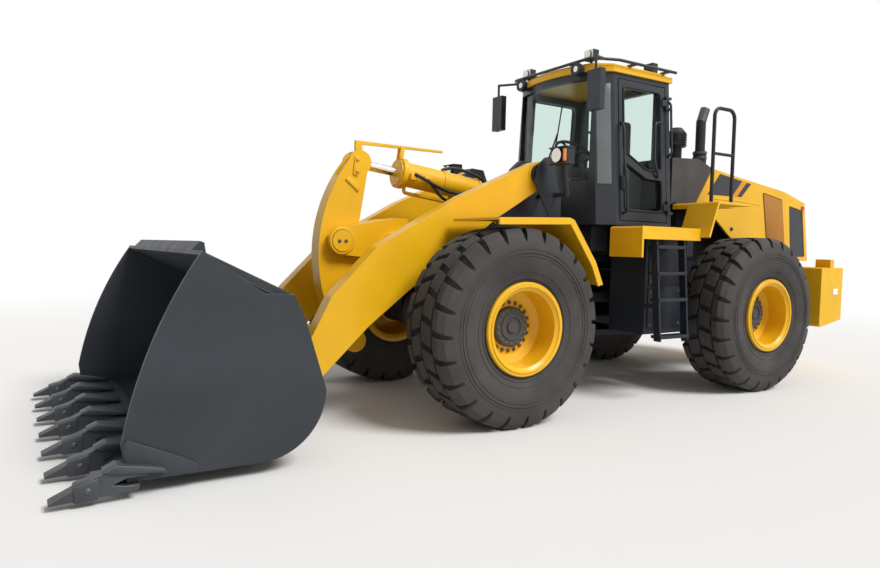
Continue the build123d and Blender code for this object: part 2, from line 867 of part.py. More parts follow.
# Engine with its gearbox, one plain mass under the hood, and the radiator behind it
with BuildPart() as engine:
    block((front_x - 4400, -330, 1320), (front_x - 3000, 330, 1900))
    block((front_x - 4490, -280, 1000), (front_x - 3620, 280, 1320))
    block((front_x - 3300, -280, 1130), (front_x - 2480, 280, 1340))
    block((gearbox_rear, -250, 640), (front_x - 2420, 250, 1140))
    block((front_x - 4760, -600, 1310), (front_x - 4640, 600, 2000))
    block((front_x - 4640, -280, 1310), (front_x - 4400, 280, 1400))
save(engine, "engine")

# Counterweight: cast block, its plan and its side view cut from one billet
cw_rear = front_x - tail_reach
cw_half = 1150
cw_top = 1300
with BuildPart() as counterweight:
    plate(
        [
            (cw_front, cw_top),
            (front_x - 4990, cw_top),
            (front_x - 5200, cw_top - 20),
            (cw_rear, cw_top - 110),
            (cw_rear, 900),
            (front_x - 5150, 700),
            (cw_front, 600),
        ],
        cw_half,
        2 * cw_half,
        rounding=25,
    )
    with BuildSketch(Plane.XY) as plan:
        with BuildLine():
            Polyline(
                (cw_front + 10, cw_half),
                (front_x - 5035, cw_half),
                (cw_rear - 1, 640),
                (cw_rear - 1, -640),
                (front_x - 5035, -cw_half),
                (cw_front + 10, -cw_half),
                close=True,
            )
        make_face()
    extrude(plan.sketch, amount=2000, mode=Mode.INTERSECT)
    with Locations(Location(((front_x - 5180), 0, cw_top))):
        Cylinder(30, 360, mode=Mode.SUBTRACT)
save(counterweight, "counterweight")

# Platforms and rear fenders: bent plate, stepped up over the front of the rear tyres
platform_outer = 1200
fender_outer = 1300
fender_inner = 730
walkway_outer = 1000
sheet = 25
fender_end = ahead(-2950, fender_top_z)
walkway_end = ahead(-3110, fender_top_z)
platform_line = [
    ahead(-1470, 1390),
    ahead(-1470, platform_z),
    ahead(-2270, platform_z),
    ahead(-2270, beam_high),
]
fender_line = [ahead(-2290, 1600), ahead(-2418, fender_top_z), fender_end]
walkway_line = [ahead(-2440, fender_top_z - 60), ahead(-2440, fender_top_z), walkway_end]
with BuildPart() as platforms:
    for sign in (1, -1):
        for inner_y, outer_y, line in (
            (800, platform_outer, platform_line),
            (950, fender_outer, fender_line),
            (fender_inner, walkway_outer, walkway_line),
        ):
            left = outer_y if sign > 0 else -inner_y
            strip(line, sheet, left, outer_y - inner_y, 30)
        left = platform_outer if sign > 0 else sheet - platform_outer
        plate(
            [
                ahead(-1470, beam_high),
                ahead(-1470, platform_z),
                ahead(-2300, platform_z),
                ahead(-2300, beam_high),
            ],
            left,
            sheet,
        )
save(platforms, "platforms")

# Ladders: two raked stringers with steps, hung under the platforms
ladder_front = front_x - 1700
ladder_rear = front_x - 2110
stringer = 20
ladder_top_z = platform_z - sheet
ladder_low_z = 600
ladder_top_y = 1090
ladder_low_y = 1180
ladder_depth = 75
step_levels = (640, 990, 1240, 1490)
tank_outer = 1000
with BuildPart() as ladders:
    for sign in (1, -1):
        for x in (ladder_front - stringer, ladder_rear):
            with BuildSketch(Plane((x, 0, 0), x_dir=(0, 1, 0), z_dir=(1, 0, 0))) as rail:
                with BuildLine():
                    Polyline(
                        (sign * ladder_top_y, ladder_top_z),
                        (sign * (ladder_top_y + ladder_depth), ladder_top_z),
                        (sign * (ladder_low_y + ladder_depth), ladder_low_z),
                        (sign * ladder_low_y, ladder_low_z),
                        close=True,
                    )
                make_face()
            extrude(rail.sketch, amount=stringer)
        rake = (ladder_low_y - ladder_top_y) / (ladder_top_z - ladder_low_z)
        for level in step_levels:
            near = ladder_top_y + rake * (ladder_top_z - level) - 35
            low_y, high_y = sorted((sign * near, sign * (near + 120)))
            block((ladder_rear + 5, low_y, level - 15), (ladder_front - 5, high_y, level + 15))
        low_y, high_y = sorted((sign * tank_outer, sign * (ladder_low_y - 30)))
        block((ladder_front - 120, low_y, 905), (ladder_front - 60, high_y, 945))
        block((ladder_front - 120, high_y - 20 if sign > 0 else low_y, 905),
              (ladder_front - 60, high_y if sign > 0 else low_y + 20, 990))
save(ladders, "ladders")

# Handrails on the walkways beside the hood
rail_y = 965
rail_radius = 19
rail_top = 2950
with BuildPart() as handrails:
    for sign in (1, -1):
        y = sign * rail_y
        with BuildLine() as loop:
            FilletPolyline(
                (front_x - 2750, y, fender_top_z),
                (front_x - 2750, y, rail_top),
                (front_x - 3080, y, rail_top),
                (front_x - 3080, y, fender_top_z),
                radius=90,
            )
        with BuildSketch(Plane(loop.line @ 0, z_dir=loop.line % 0)) as section:
            Circle(rail_radius)
        sweep(section.sketch, path=loop.line)
        rod_between((front_x - 2750, y, 2480), (front_x - 3080, y, 2480), rail_radius - 3)
save(handrails, "handrails")

# Front fenders: bent plate on an inner web that stands clear of cylinder and tyre
front_fender_outer = 1340
web_y = 700
web = 25
with BuildPart() as front_fenders:
    for sign in (1, -1):
        left = front_fender_outer if sign > 0 else -web_y
        strip(
            [ahead(273, 1683), ahead(-471, 1710), ahead(-755, 1353), ahead(-849, 1155)],
            20, left, front_fender_outer - web_y, 60,
        )
        left = web_y + web if sign > 0 else -web_y
        plate(
            [
                ahead(-930, 960),
                ahead(-835, 960),
                ahead(-800, 1150),
                ahead(-690, 1340),
                ahead(-430, 1640),
                ahead(-150, 1660),
                ahead(-150, 1690),
                ahead(-470, 1700),
                ahead(-745, 1353),
                ahead(-845, 1155),
            ],
            left,
            web,
        )
        near_y, far_y = sign * tower_outer, sign * (web_y + 10)
        bar(ahead(-880, 1005), 40, max(near_y, far_y), min(near_y, far_y))
save(front_fenders, "front_fenders")

# Headlamps on arms that reach round the back of the boom
lamp_x, lamp_y, lamp_z = front_x - 733, 895, 2280
arm_root = ahead(-862, 1950)
with BuildPart() as headlamps:
    for sign in (1, -1):
        near_y, far_y = sign * tower_outer, sign * 845
        bar(arm_root, 24, max(near_y, far_y), min(near_y, far_y))
        rod_between(
            (arm_root[0], sign * 835, arm_root[1]), (lamp_x - 30, sign * lamp_y, lamp_z - 60), 24
        )
        block(
            (lamp_x - 60, sign * lamp_y - 105, lamp_z - 75), (lamp_x + 35, sign * lamp_y + 105, lamp_z + 75)
        )
        with Locations(Location((lamp_x + 45, sign * lamp_y, lamp_z), (0, 90, 0))):
            Cylinder(62, 40)
save(headlamps, "headlamps")

# Cab: hollow shell that leans in towards the roof, its front bowed
cab_front = front_x - 1320
cab_shoulder = front_x - 1425
cab_side = front_x - 1600
cab_rear = front_x - 2400
cab_wall = 60
pillar_step = 100


def cab_half(z):
    """Half-width of the cab's outer face at height z."""
    return cab_half_low + (cab_half_high - cab_half_low) * (z - cab_floor_z) / (cab_top_z - cab_floor_z)


def cab_solid(inset, low, high, mode=Mode.ADD):
    """The cab's outline set in by inset, between two heights."""
    sections = []
    for z in (low, high):
        half = cab_half(z) - inset
        with BuildSketch(Plane.XY.offset(z)) as plan:
            with BuildLine():
                ThreePointArc(
                    (cab_shoulder - inset, half - pillar_step),
                    (cab_front - inset, 0),
                    (cab_shoulder - inset, pillar_step - half),
                )
                Polyline(
                    (cab_shoulder - inset, pillar_step - half),
                    (cab_side - inset, -half),
                    (cab_rear + inset, -half),
                    (cab_rear + inset, half),
                    (cab_side - inset, half),
                    (cab_shoulder - inset, half - pillar_step),
                )
            make_face()
        sections.append(plan.sketch.face())
    loft(sections, mode=mode)


door_hinge_off = 20
door_hinge_levels = (1900, 2980)
door_knuckle = 13
door_hinge_rod = 6
door_front = front_x - 1646
door_rear = front_x - 2340
door_low = 1740
door_high = 3150
door_gap = 9
sill_z = 2130
head_z = 3130
pane = 12
pane_inset = 22


def door_axis(z):
    """Point of the door's hinge line, which leans with the cab wall."""
    return (door_rear + 5, cab_half(z) + door_hinge_off, z)


with BuildPart() as cab_windows:
    block((cab_shoulder - 110, -545, sill_z), (cab_front + 20, 545, head_z))
    block((cab_rear - 20, -500, 2320), (cab_rear + cab_wall + 20, 500, head_z))
    plate(
        [
            (door_front, 2060),
            (door_front, head_z),
            (door_rear + 60, head_z),
            (door_rear + 60, 2060),
        ],
        -500,
        400,
        rounding=50,
    )

with BuildPart() as cab_body:
    cab_solid(0, cab_floor_z, cab_top_z)
    cab_solid(cab_wall, cab_floor_z + 60, cab_top_z + 1, Mode.SUBTRACT)
    add(cab_windows.part, mode=Mode.SUBTRACT)
    block((door_rear, 450, door_low), (door_front, 850, door_high), Mode.SUBTRACT)
    for level in door_hinge_levels:
        rod_between(door_axis(level - 70), door_axis(level + 70), door_hinge_rod)
        for end in (-1, 1):
            low, high = sorted((level + end * 40, level + end * 70))
            rod_between(door_axis(low), door_axis(high), door_knuckle)
            x, y, _ = door_axis(level)
            block((x - 70, y - 45, low + 2), (x, y + 8, high - 2))
save(cab_body, "cab_body")

with BuildPart() as cab_glass:
    cab_solid(pane_inset, cab_floor_z, cab_top_z)
    cab_solid(pane_inset + pane, cab_floor_z - 1, cab_top_z + 1, Mode.SUBTRACT)
    add(cab_windows.part, mode=Mode.INTERSECT)
save(cab_glass, "cab_glass")

with BuildPart() as door_windows:
    plate(
        [
            (door_front - 75, 2440),
            (door_front - 75, door_high - 75),
            (door_rear + 80, door_high - 75),
            (door_rear + 80, 2270),
            (door_rear + 300, 2270),
        ],
        850,
        400,
        rounding=40,
    )
    plate(
        [
            (door_front - 75, door_low + 110),
            (door_front - 75, 2330),
            (door_rear + 300, 2180),
            (door_rear + 80, 2180),
            (door_rear + 80, door_low + 110),
        ],
        850,
        400,
        rounding=40,
    )

with BuildPart() as door:
    cab_solid(0, cab_floor_z, cab_top_z)
    cab_solid(cab_wall, cab_floor_z - 1, cab_top_z + 1, Mode.SUBTRACT)
    block(
        (door_rear + door_gap, 450, door_low + door_gap),
        (door_front - door_gap - 4, 850, door_high - door_gap),
        Mode.INTERSECT,
    )
    add(door_windows.part, mode=Mode.SUBTRACT)
    for level in door_hinge_levels:
        rod_between(door_axis(level - 33), door_axis(level + 33), door_knuckle)
        x, y, _ = door_axis(level)
        block((x, y - door_hinge_off - 8, level - 30), (x + 70, y + 8, level + 30))
        block(
            (x - 20, y - door_hinge_off - 40, level - 40),
            (x + 4, y - door_hinge_off + 3, level + 40),
            Mode.SUBTRACT,
        )
        rod_between(door_axis(level - 60), door_axis(level + 60), door_hinge_rod + running_gap, Mode.SUBTRACT)
save(door, "door")

with BuildPart() as door_glass:
    cab_solid(pane_inset, cab_floor_z, cab_top_z)
    cab_solid(pane_inset + pane, cab_floor_z - 1, cab_top_z + 1, Mode.SUBTRACT)
    add(door_windows.part, mode=Mode.INTERSECT)
save(door_glass, "door_glass")

# Roof cap with its overhang
with BuildPart() as cab_roof:
    cab_solid(-25, cab_top_z, cab_top_z + roof_rise - 35)
    cab_solid(20, cab_top_z + roof_rise - 40, roof_top_z)
save(cab_roof, "cab_roof")

# Guard rail round the roof, with the mirrors hung from it
guard_z = roof_top_z + 15
guard_radius = 15
guard_half = cab_half_high + 55
with BuildPart() as roof_rail:
    with BuildLine() as guard:
        FilletPolyline(
            (cab_rear - 40, guard_half, guard_z),
            (cab_side, guard_half, guard_z),
            (cab_shoulder + 90, guard_half - 110, guard_z),
            (cab_shoulder + 90, 110 - guard_half, guard_z),
            (cab_side, -guard_half, guard_z),
            (cab_rear - 40, -guard_half, guard_z),
            radius=80,
        )
    with BuildSketch(Plane(guard.line @ 0, z_dir=guard.line % 0)) as section:
        Circle(guard_radius)
    sweep(section.sketch, path=guard.line)
    for sign in (1, -1):
        for x in (cab_rear + 60, cab_side - 250):
            block(
                (x - 15, min(sign * 590, sign * guard_half), roof_top_z),
                (x + 15, max(sign * 590, sign * guard_half), roof_top_z + 22),
            )
        block(
            (cab_shoulder - 40, sign * 300 - 15, roof_top_z),
            (cab_shoulder + 92, sign * 300 + 15, roof_top_z + 22),
        )
        mirror_x, mirror_y = front_x - 1245, sign * 760
        rod_between(
            ((cab_side + cab_shoulder + 90) / 2, sign * (guard_half - 55), guard_z),
            (mirror_x, mirror_y, guard_z - 30),
            13,
        )
        rod_between((mirror_x, mirror_y, guard_z - 20), (mirror_x, mirror_y, 2760), 13)
        block((mirror_x - 45, mirror_y - 85, 2770), (mirror_x + 20, mirror_y + 85, 3150))
save(roof_rail, "roof_rail")

# Work lamps on the roof, two forward and two to the rear
with BuildPart() as work_lamps:
    for x, lens in ((cab_shoulder - 30, 1), (cab_rear + 90, -1)):
        for y in (-480, 480):
            post(x, y, 14, roof_top_z, roof_top_z + 40)
            block((x - 40, y - 60, roof_top_z + 30), (x + 40, y + 60, roof_top_z + 130))
            with Locations(Location((x + lens * 45, y, roof_top_z + 80), (0, 90, 0))):
                Cylinder(44, 30)
save(work_lamps, "work_lamps")

# Cab interior: seat, steering column with its wheel, and the front console
floor_top = cab_floor_z + 60
seat_x = front_x - 2080
with BuildPart() as cab_interior:
    block((seat_x - 200, -190, floor_top), (seat_x + 200, 190, floor_top + 360))
    block((seat_x - 230, -255, floor_top + 350), (seat_x + 270, 255, floor_top + 480))
    plate(
        [
            (seat_x - 230, floor_top + 470),
            (seat_x - 110, floor_top + 470),
            (seat_x - 190, floor_top + 1090),
            (seat_x - 270, floor_top + 1090),
        ],
        245,
        490,
    )
    block((seat_x - 270, -130, floor_top + 1080), (seat_x - 180, 130, floor_top + 1250))
    for sign in (1, -1):
        block(
            (seat_x - 150, sign * 340 - 70, floor_top), (seat_x + 230, sign * 340 + 70, floor_top + 620)
        )
    wheel_centre = (front_x - 1690, 0, floor_top + 740)
    rod_between((front_x - 1540, 0, floor_top + 60), wheel_centre, 40)
    with BuildSketch(Plane(wheel_centre, z_dir=(-0.45, 0, 0.9))) as rim_path:
        Circle(205)
        Circle(170, mode=Mode.SUBTRACT)
    extrude(rim_path.sketch, amount=26)
    with BuildSketch(Plane(wheel_centre, z_dir=(-0.45, 0, 0.9))) as spokes:
        Rectangle(44, 380)
        Circle(60)
    extrude(spokes.sketch, amount=18)
    block((front_x - 1600, -330, floor_top), (front_x - 1510, 330, floor_top + 260))
save(cab_interior, "cab_interior")

# Cowl between cab and hood, with air cleaner and exhaust on its top
hood_sheet = 25
cowl_front = front_x - 2460
cowl_seam = 12
seam_top = ahead(-3126, 2372)
seam_low = ahead(-2870, 1992)
cowl_crest = ahead(-2880, 2458)
hood_hinge = (seam_top[0] + cowl_seam / 2, seam_top[1] + 24)
hood_hinge_y = 450
knuckle_radius = 15
knuckle_half = 30
hinge_rod = 7
cowl_fall = (cowl_crest[1] - seam_top[1]) / (cowl_crest[0] - seam_top[0])
with BuildPart() as cowl_form:
    plate(
        [
            (cowl_front, seam_low[1]),
            (cowl_front, 2435),
            cowl_crest,
            (seam_top[0] + cowl_seam, seam_top[1] + cowl_fall * cowl_seam),
            (seam_low[0] + cowl_seam, seam_low[1]),
        ],
        hood_half,
        2 * hood_half,
    )

with BuildPart() as cowl:
    add(cowl_form.part)
    plate(
        [
            (cowl_front - hood_sheet, 1900),
            (cowl_front - hood_sheet, 2435 - hood_sheet),
            (cowl_crest[0], cowl_crest[1] - hood_sheet),
            (seam_top[0] - 100, seam_top[1] - cowl_fall * 100 - hood_sheet),
            ahead(-3300, 1900),
        ],
        hood_half - hood_sheet,
        2 * (hood_half - hood_sheet),
        mode=Mode.SUBTRACT,
    )
    for sign in (1, -1):
        low_y, high_y = sorted((sign * (hood_half - 60), sign * hood_half))
        block((front_x - 2860, low_y, fender_top_z), (cowl_front, high_y, 2000))
    for sign in (1, -1):
        low_y, high_y = sorted((sign * (hood_half - 60), sign * (fender_inner + 30)))
        block((front_x - 2860, low_y, fender_top_z), (cowl_front, high_y, fender_top_z + 15))
    hx, hz = hood_hinge
    for sign in (1, -1):
        for end in (1, -1):
            y = sign * hood_hinge_y + end * (knuckle_half + side_gap + 12)
            bar(hood_hinge, knuckle_radius, y + 12, y - 12)
            plate([(hx, hz - 14), (hx, hz + 14), (hx + 70, hz + 20), (hx + 70, hz - 10)], y + 12, 24)
        y = sign * hood_hinge_y
        bar(hood_hinge, hinge_rod, y + knuckle_half + 20, y - knuckle_half - 20)
save(cowl, "cowl")

exhaust_x, exhaust_y = front_x - 3030, 585
with BuildPart() as exhaust:
    post(exhaust_x, exhaust_y, 70, 2400, 2560)
    add(cowl_form.part, mode=Mode.SUBTRACT)
    post(exhaust_x, exhaust_y, 52, 2550, 2890)
    rod_between((exhaust_x, exhaust_y, 2880), (exhaust_x - 60, exhaust_y, 3030), 52)
save(exhaust, "exhaust_stack")

cleaner_x, cleaner_y = front_x - 2960, 320
with BuildPart() as pre_cleaner:
    post(cleaner_x, cleaner_y, 62, 2420, 2640)
    add(cowl_form.part, mode=Mode.SUBTRACT)
    post(cleaner_x, cleaner_y, 105, 2630, 2790)
    with Locations((cleaner_x, cleaner_y, 2815)):
        Cone(105, 55, 60)
save(pre_cleaner, "pre_cleaner")

# Hood: one tilting shell, hinged along its front top edge
hood_rear_top = ahead(-4940, 2085)
hood_rear_low = ahead(-5060, 1370)
hood_top = [seam_top, ahead(-3600, 2310), ahead(-4500, 2200), hood_rear_top]
side_vent = [ahead(-4060, 2170), ahead(-4460, 2105), ahead(-4560, 1540), ahead(-4180, 1540)]
tail_vent = [ahead(-4610, 2040), ahead(-4905, 1990), ahead(-4995, 1420), ahead(-4680, 1420)]
rear_vent_half = 610
with BuildPart() as hood:
    plate(
        hood_top
        + [
            hood_rear_low,
            ahead(-3900, 1370),
            ahead(-3450, 1650),
            ahead(-3200, 1830),
            ahead(-3050, 1960),
            seam_low,
        ],
        hood_half,
        2 * hood_half,
    )
    plate(
        [(x, z - hood_sheet) for x, z in hood_top[1:-1]]
        + [
            (hood_rear_top[0] + hood_sheet + 8, hood_rear_top[1] - hood_sheet - 8),
            (hood_rear_low[0] + hood_sheet, hood_rear_low[1] - 20),
            ahead(-3900, 1300),
            ahead(-2800, 1300),
            ahead(-2800, 2404 - hood_sheet),
            (seam_top[0], seam_top[1] - hood_sheet),
        ],
        hood_half - hood_sheet,
        2 * (hood_half - hood_sheet),
        mode=Mode.SUBTRACT,
    )
    for outline in (side_vent, tail_vent):
        plate(outline, hood_half + 10, 2 * hood_half + 20, rounding=20, mode=Mode.SUBTRACT)
    block(
        (front_x - 5100, -rear_vent_half, 1420), (front_x - 4900, rear_vent_half, 1990), Mode.SUBTRACT
    )
    for sign in (1, -1):
        y = sign * hood_hinge_y
        bar(hood_hinge, knuckle_radius, y + knuckle_half, y - knuckle_half)
        plate(
            [(hx, hz - 14), (hx, hz + 14), (hx - 90, hz - 24), (hx - 90, hz - 44)],
            y + knuckle_half,
            2 * knuckle_half,
        )
        bar(hood_hinge, hinge_rod + running_gap, y + 40, y - 40, Mode.SUBTRACT)
save(hood, "hood")

# Grilles set into the hood: slotted side panels and louvred tail
grille = 12
with BuildPart() as grilles:
    for sign in (1, -1):
        left = hood_half - 6 if sign > 0 else grille + 6 - hood_half
        for outline in (side_vent, tail_vent):
            plate(outline, left, grille, rounding=20)
        with Locations(*[
            Location((front_x - 4120 - 66 * column - 26 * row, left - grille / 2, 2060 - 105 * row))
            for row in range(5)
            for column in range(5)
        ]):
            Box(40, 40, 70, mode=Mode.SUBTRACT)
    for level in range(8):
        z = 1440 + level * 72
        x = hood_rear_low[0] + (hood_rear_top[0] - hood_rear_low[0]) * (z - 1370) / 715
        block((x + 4, -rear_vent_half, z - 12), (x + 30, rear_vent_half, z + 26))
    for y in (-rear_vent_half, -25, rear_vent_half - 50):
        plate(
            [
                (hood_rear_low[0] + 24, 1420),
                (hood_rear_low[0] + 36, 1420),
                (hood_rear_top[0] + 16, 1990),
                (hood_rear_top[0] + 4, 1990),
            ],
            y + 50,
            50,
        )
save(grilles, "hood_grilles")

# Tail lamps standing on the counterweight
with BuildPart() as tail_lamps:
    for sign in (1, -1):
        low_y, high_y = sorted((sign * 900, sign * 1080))
        block((front_x - 4960, low_y, cw_top), (front_x - 4880, high_y, cw_top + 95))
save(tail_lamps, "tail_lamps")
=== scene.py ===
import json
import math
import bmesh
import bpy
from mathutils import Matrix, Vector

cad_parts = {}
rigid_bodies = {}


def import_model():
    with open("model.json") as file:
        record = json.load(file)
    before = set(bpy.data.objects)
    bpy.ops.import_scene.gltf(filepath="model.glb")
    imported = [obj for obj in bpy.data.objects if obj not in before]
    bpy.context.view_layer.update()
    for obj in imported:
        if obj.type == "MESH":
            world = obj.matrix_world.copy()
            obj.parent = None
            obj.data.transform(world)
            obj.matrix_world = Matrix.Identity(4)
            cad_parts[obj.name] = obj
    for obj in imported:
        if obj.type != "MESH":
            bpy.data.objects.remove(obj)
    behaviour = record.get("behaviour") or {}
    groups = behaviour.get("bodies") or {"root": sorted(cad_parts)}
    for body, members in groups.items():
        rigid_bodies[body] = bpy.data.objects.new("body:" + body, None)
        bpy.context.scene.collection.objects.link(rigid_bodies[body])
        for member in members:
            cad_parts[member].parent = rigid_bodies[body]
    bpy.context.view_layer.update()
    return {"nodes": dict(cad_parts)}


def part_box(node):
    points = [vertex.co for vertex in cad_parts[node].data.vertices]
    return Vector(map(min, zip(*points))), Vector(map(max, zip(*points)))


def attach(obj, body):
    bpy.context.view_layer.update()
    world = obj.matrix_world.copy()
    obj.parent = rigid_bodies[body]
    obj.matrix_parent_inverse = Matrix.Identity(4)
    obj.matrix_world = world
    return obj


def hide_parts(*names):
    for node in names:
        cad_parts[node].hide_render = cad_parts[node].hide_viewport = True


for leftover in list(bpy.data.objects):
    bpy.data.objects.remove(leftover)
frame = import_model()

# Main frames, axles and drive train
# Two welded frames of thick steel plate, hinged in the middle, with cast axles bolted under them.
# All of it is sprayed near-black, so only edges and bosses catch the light.
front_x = sum(corner.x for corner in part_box("wheel_fl_tyre")) / 2
rear_x = sum(corner.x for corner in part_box("wheel_rl_tyre")) / 2


def at(x, y, z):
    """Point in the row frame, x forward of the front axle."""
    return Vector((front_x + x, y, z))


def enamel(name, slot, colour, roughness, metal=0.0, coat=0.0, mottle=0.1, rub=0.25, bump=0.05, grain=160.0):
    """Sprayed, cast or moulded finish: mottled colour, fine grain, edges rubbed paler."""
    material = bpy.data.materials.new(name)
    material["slot"] = slot
    material.use_nodes = True
    nodes, links = material.node_tree.nodes, material.node_tree.links
    shader = nodes["Principled BSDF"]
    shader.inputs["Metallic"].default_value = metal
    shader.inputs["Coat Weight"].default_value = coat
    shader.inputs["Coat Roughness"].default_value = 0.15
    shader.inputs["Specular IOR Level"].default_value = 0.35
    spot = nodes.new("ShaderNodeTexCoord").outputs["Object"]

    def cloud(scale, detail):
        noise = nodes.new("ShaderNodeTexNoise")
        noise.inputs["Scale"].default_value = scale
        noise.inputs["Detail"].default_value = detail
        links.new(spot, noise.inputs["Vector"])
        return noise.outputs["Fac"]

    def spread(source, from_low, from_high, to_low, to_high):
        remap = nodes.new("ShaderNodeMapRange")
        sockets = ("From Min", "From Max", "To Min", "To Max")
        for socket, value in zip(sockets, (from_low, from_high, to_low, to_high)):
            remap.inputs[socket].default_value = value
        links.new(source, remap.inputs["Value"])
        return remap.outputs["Result"]

    tone = nodes.new("ShaderNodeValToRGB")
    low, high = tone.color_ramp.elements
    low.position, high.position = 0.32, 0.68
    low.color = (*[part * (1 - mottle) for part in colour], 1)
    high.color = (*[min(1, part * (1 + mottle)) for part in colour], 1)
    links.new(cloud(2.4, 7), tone.inputs["Fac"])
    rounded = nodes.new("ShaderNodeBevel")
    rounded.samples = 4
    rounded.inputs["Radius"].default_value = 0.007
    flat = nodes.new("ShaderNodeNewGeometry")
    match = nodes.new("ShaderNodeVectorMath")
    match.operation = "DOT_PRODUCT"
    links.new(rounded.outputs["Normal"], match.inputs[0])
    links.new(flat.outputs["Normal"], match.inputs[1])
    worn = nodes.new("ShaderNodeMix")
    worn.data_type = "RGBA"
    links.new(spread(match.outputs["Value"], 1.0, 0.8, 0.0, rub), worn.inputs[0])
    links.new(tone.outputs["Color"], worn.inputs[6])
    worn.inputs[7].default_value = (*[part * 0.6 + 0.28 for part in colour], 1)
    links.new(worn.outputs[2], shader.inputs["Base Color"])
    links.new(spread(cloud(9, 5), 0.3, 0.7, roughness - 0.07, roughness + 0.09), shader.inputs["Roughness"])
    relief = nodes.new("ShaderNodeBump")
    relief.inputs["Strength"].default_value = bump
    relief.inputs["Distance"].default_value = 0.004
    links.new(cloud(grain, 3), relief.inputs["Height"])
    links.new(rounded.outputs["Normal"], relief.inputs["Normal"])
    links.new(relief.outputs["Normal"], shader.inputs["Normal"])
    return material


def dress(material, *nodes):
    """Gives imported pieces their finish."""
    for node in nodes:
        mesh = frame["nodes"][node].data
        mesh.materials.clear()
        mesh.materials.append(material)


def repaint(node, material, chosen):
    """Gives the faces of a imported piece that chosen(centre, normal) picks another finish."""
    mesh = frame["nodes"][node].data
    mesh.materials.append(material)
    for face in mesh.polygons:
        if chosen(face.center, face.normal):
            face.material_index = len(mesh.materials) - 1


def mounted(name, form, material, body):
    """Puts a finished mesh or curve on its body, with its finish."""
    form.materials.append(material)
    piece = bpy.data.objects.new(name, form)
    bpy.context.scene.collection.objects.link(piece)
    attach(piece, body)
    return piece


def fitted(name, shape, material, body, smooth=35):
    """Turns a bmesh into a piece that rides on a body."""
    bmesh.ops.recalc_face_normals(shape, faces=shape.faces[:])
    mesh = bpy.data.meshes.new(name)
    shape.to_mesh(mesh)
    shape.free()
    for face in mesh.polygons:
        face.use_smooth = True
    mesh.set_sharp_from_angle(angle=math.radians(smooth))
    return mounted(name, mesh, material, body)


def put_prism(shape, outline, thickness, edge=0.004):
    """Adds a plate to a bmesh: a flat outline pushed along a vector, its edges broken."""
    part = bmesh.new()
    part.faces.new([part.verts.new(point) for point in outline])
    pushed = bmesh.ops.extrude_face_region(part, geom=part.faces[:])["geom"]
    far_corners = [corner for corner in pushed if isinstance(corner, bmesh.types.BMVert)]
    bmesh.ops.translate(part, vec=thickness, verts=far_corners)
    bmesh.ops.recalc_face_normals(part, faces=part.faces[:])
    if edge:
        bmesh.ops.bevel(
            part, geom=part.edges[:], offset=edge, segments=2, profile=0.5, affect="EDGES", clamp_overlap=True
        )
    merged = bpy.data.meshes.new("merged")
    part.to_mesh(merged)
    part.free()
    shape.from_mesh(merged)
    bpy.data.meshes.remove(merged)


def plates(name, outlines, material, body, edge=0.004):
    """One piece of several plates, each an outline with its thickness vector."""
    shape = bmesh.new()
    for outline, thickness in outlines:
        put_prism(shape, outline, thickness, edge)
    return fitted(name, shape, material, body)


def brick(low, high):
    """Outline and thickness of a block between two corners."""
    corners = [(low.x, low.y), (high.x, low.y), (high.x, high.y), (low.x, high.y)]
    return [Vector((x, y, low.z)) for x, y in corners], Vector((0, 0, high.z - low.z))


def spokes_round(axis, count):
    """Unit vectors square to an axis, evenly spread round it."""
    across = axis.orthogonal().normalized()
    other = axis.cross(across)
    turns = [2 * math.pi * k / count for k in range(count)]
    return [across * math.cos(turn) + other * math.sin(turn) for turn in turns]


def bolt_heads(name, places, outward, size, material, body):
    """Hexagon heads on washers, all in one piece."""
    outward = Vector(outward).normalized()
    washer, head = (1.25, -0.4, 0.18, 18), (1.0, 0.1, 0.85, 6)
    shape = bmesh.new()
    for place in places:
        for radius, low, high, corners in (washer, head):
            foot = Vector(place) + outward * (low * size)
            ring = [foot + spoke * radius * size for spoke in spokes_round(outward, corners)]
            put_prism(shape, ring, outward * ((high - low) * size), 0.1 * size)
    return fitted(name, shape, material, body)


near_black = enamel("near_black_enamel", "charcoal_paint", (0.012, 0.015, 0.022), 0.48, mottle=0.2, rub=0.08)
dark_steel = enamel("dark_fastener_steel", "steel", (0.10, 0.10, 0.105), 0.42, metal=0.8, rub=0.5)
dress(near_black, "rear_frame", "front_frame", "front_axle", "rear_axle", "engine")
hinge_cap = Vector(((front_x + rear_x) / 2, 0, 1.39))
hinge_bolt_ring, hinge_bolt_count = 0.105, 8
hinge_bolts = []
for k in range(hinge_bolt_count):
    turn = 2 * math.pi * k / hinge_bolt_count
    hinge_bolts.append(hinge_cap + Vector((math.cos(turn), math.sin(turn), 0)) * hinge_bolt_ring)
bolt_heads("hinge_cap_bolts", hinge_bolts, (0, 0, 1), 0.016, dark_steel, "rear_body")
cab_mount = [
    brick(at(-1.74, -0.50, 1.44), at(-1.52, 0.50, 1.705)),
    brick(at(-2.36, -0.60, 1.50), at(-2.24, 0.60, 1.705)),
]
plates("cab_mount_beams", cab_mount, near_black, "rear_body", 0.01)


def side_plate(outline, hand, out, thickness):
    """Upright plate on one side: its outline in x and z, its inner face and its thickness outward."""
    return [at(x, hand * out, z) for x, z in outline], Vector((0, hand * thickness, 0))


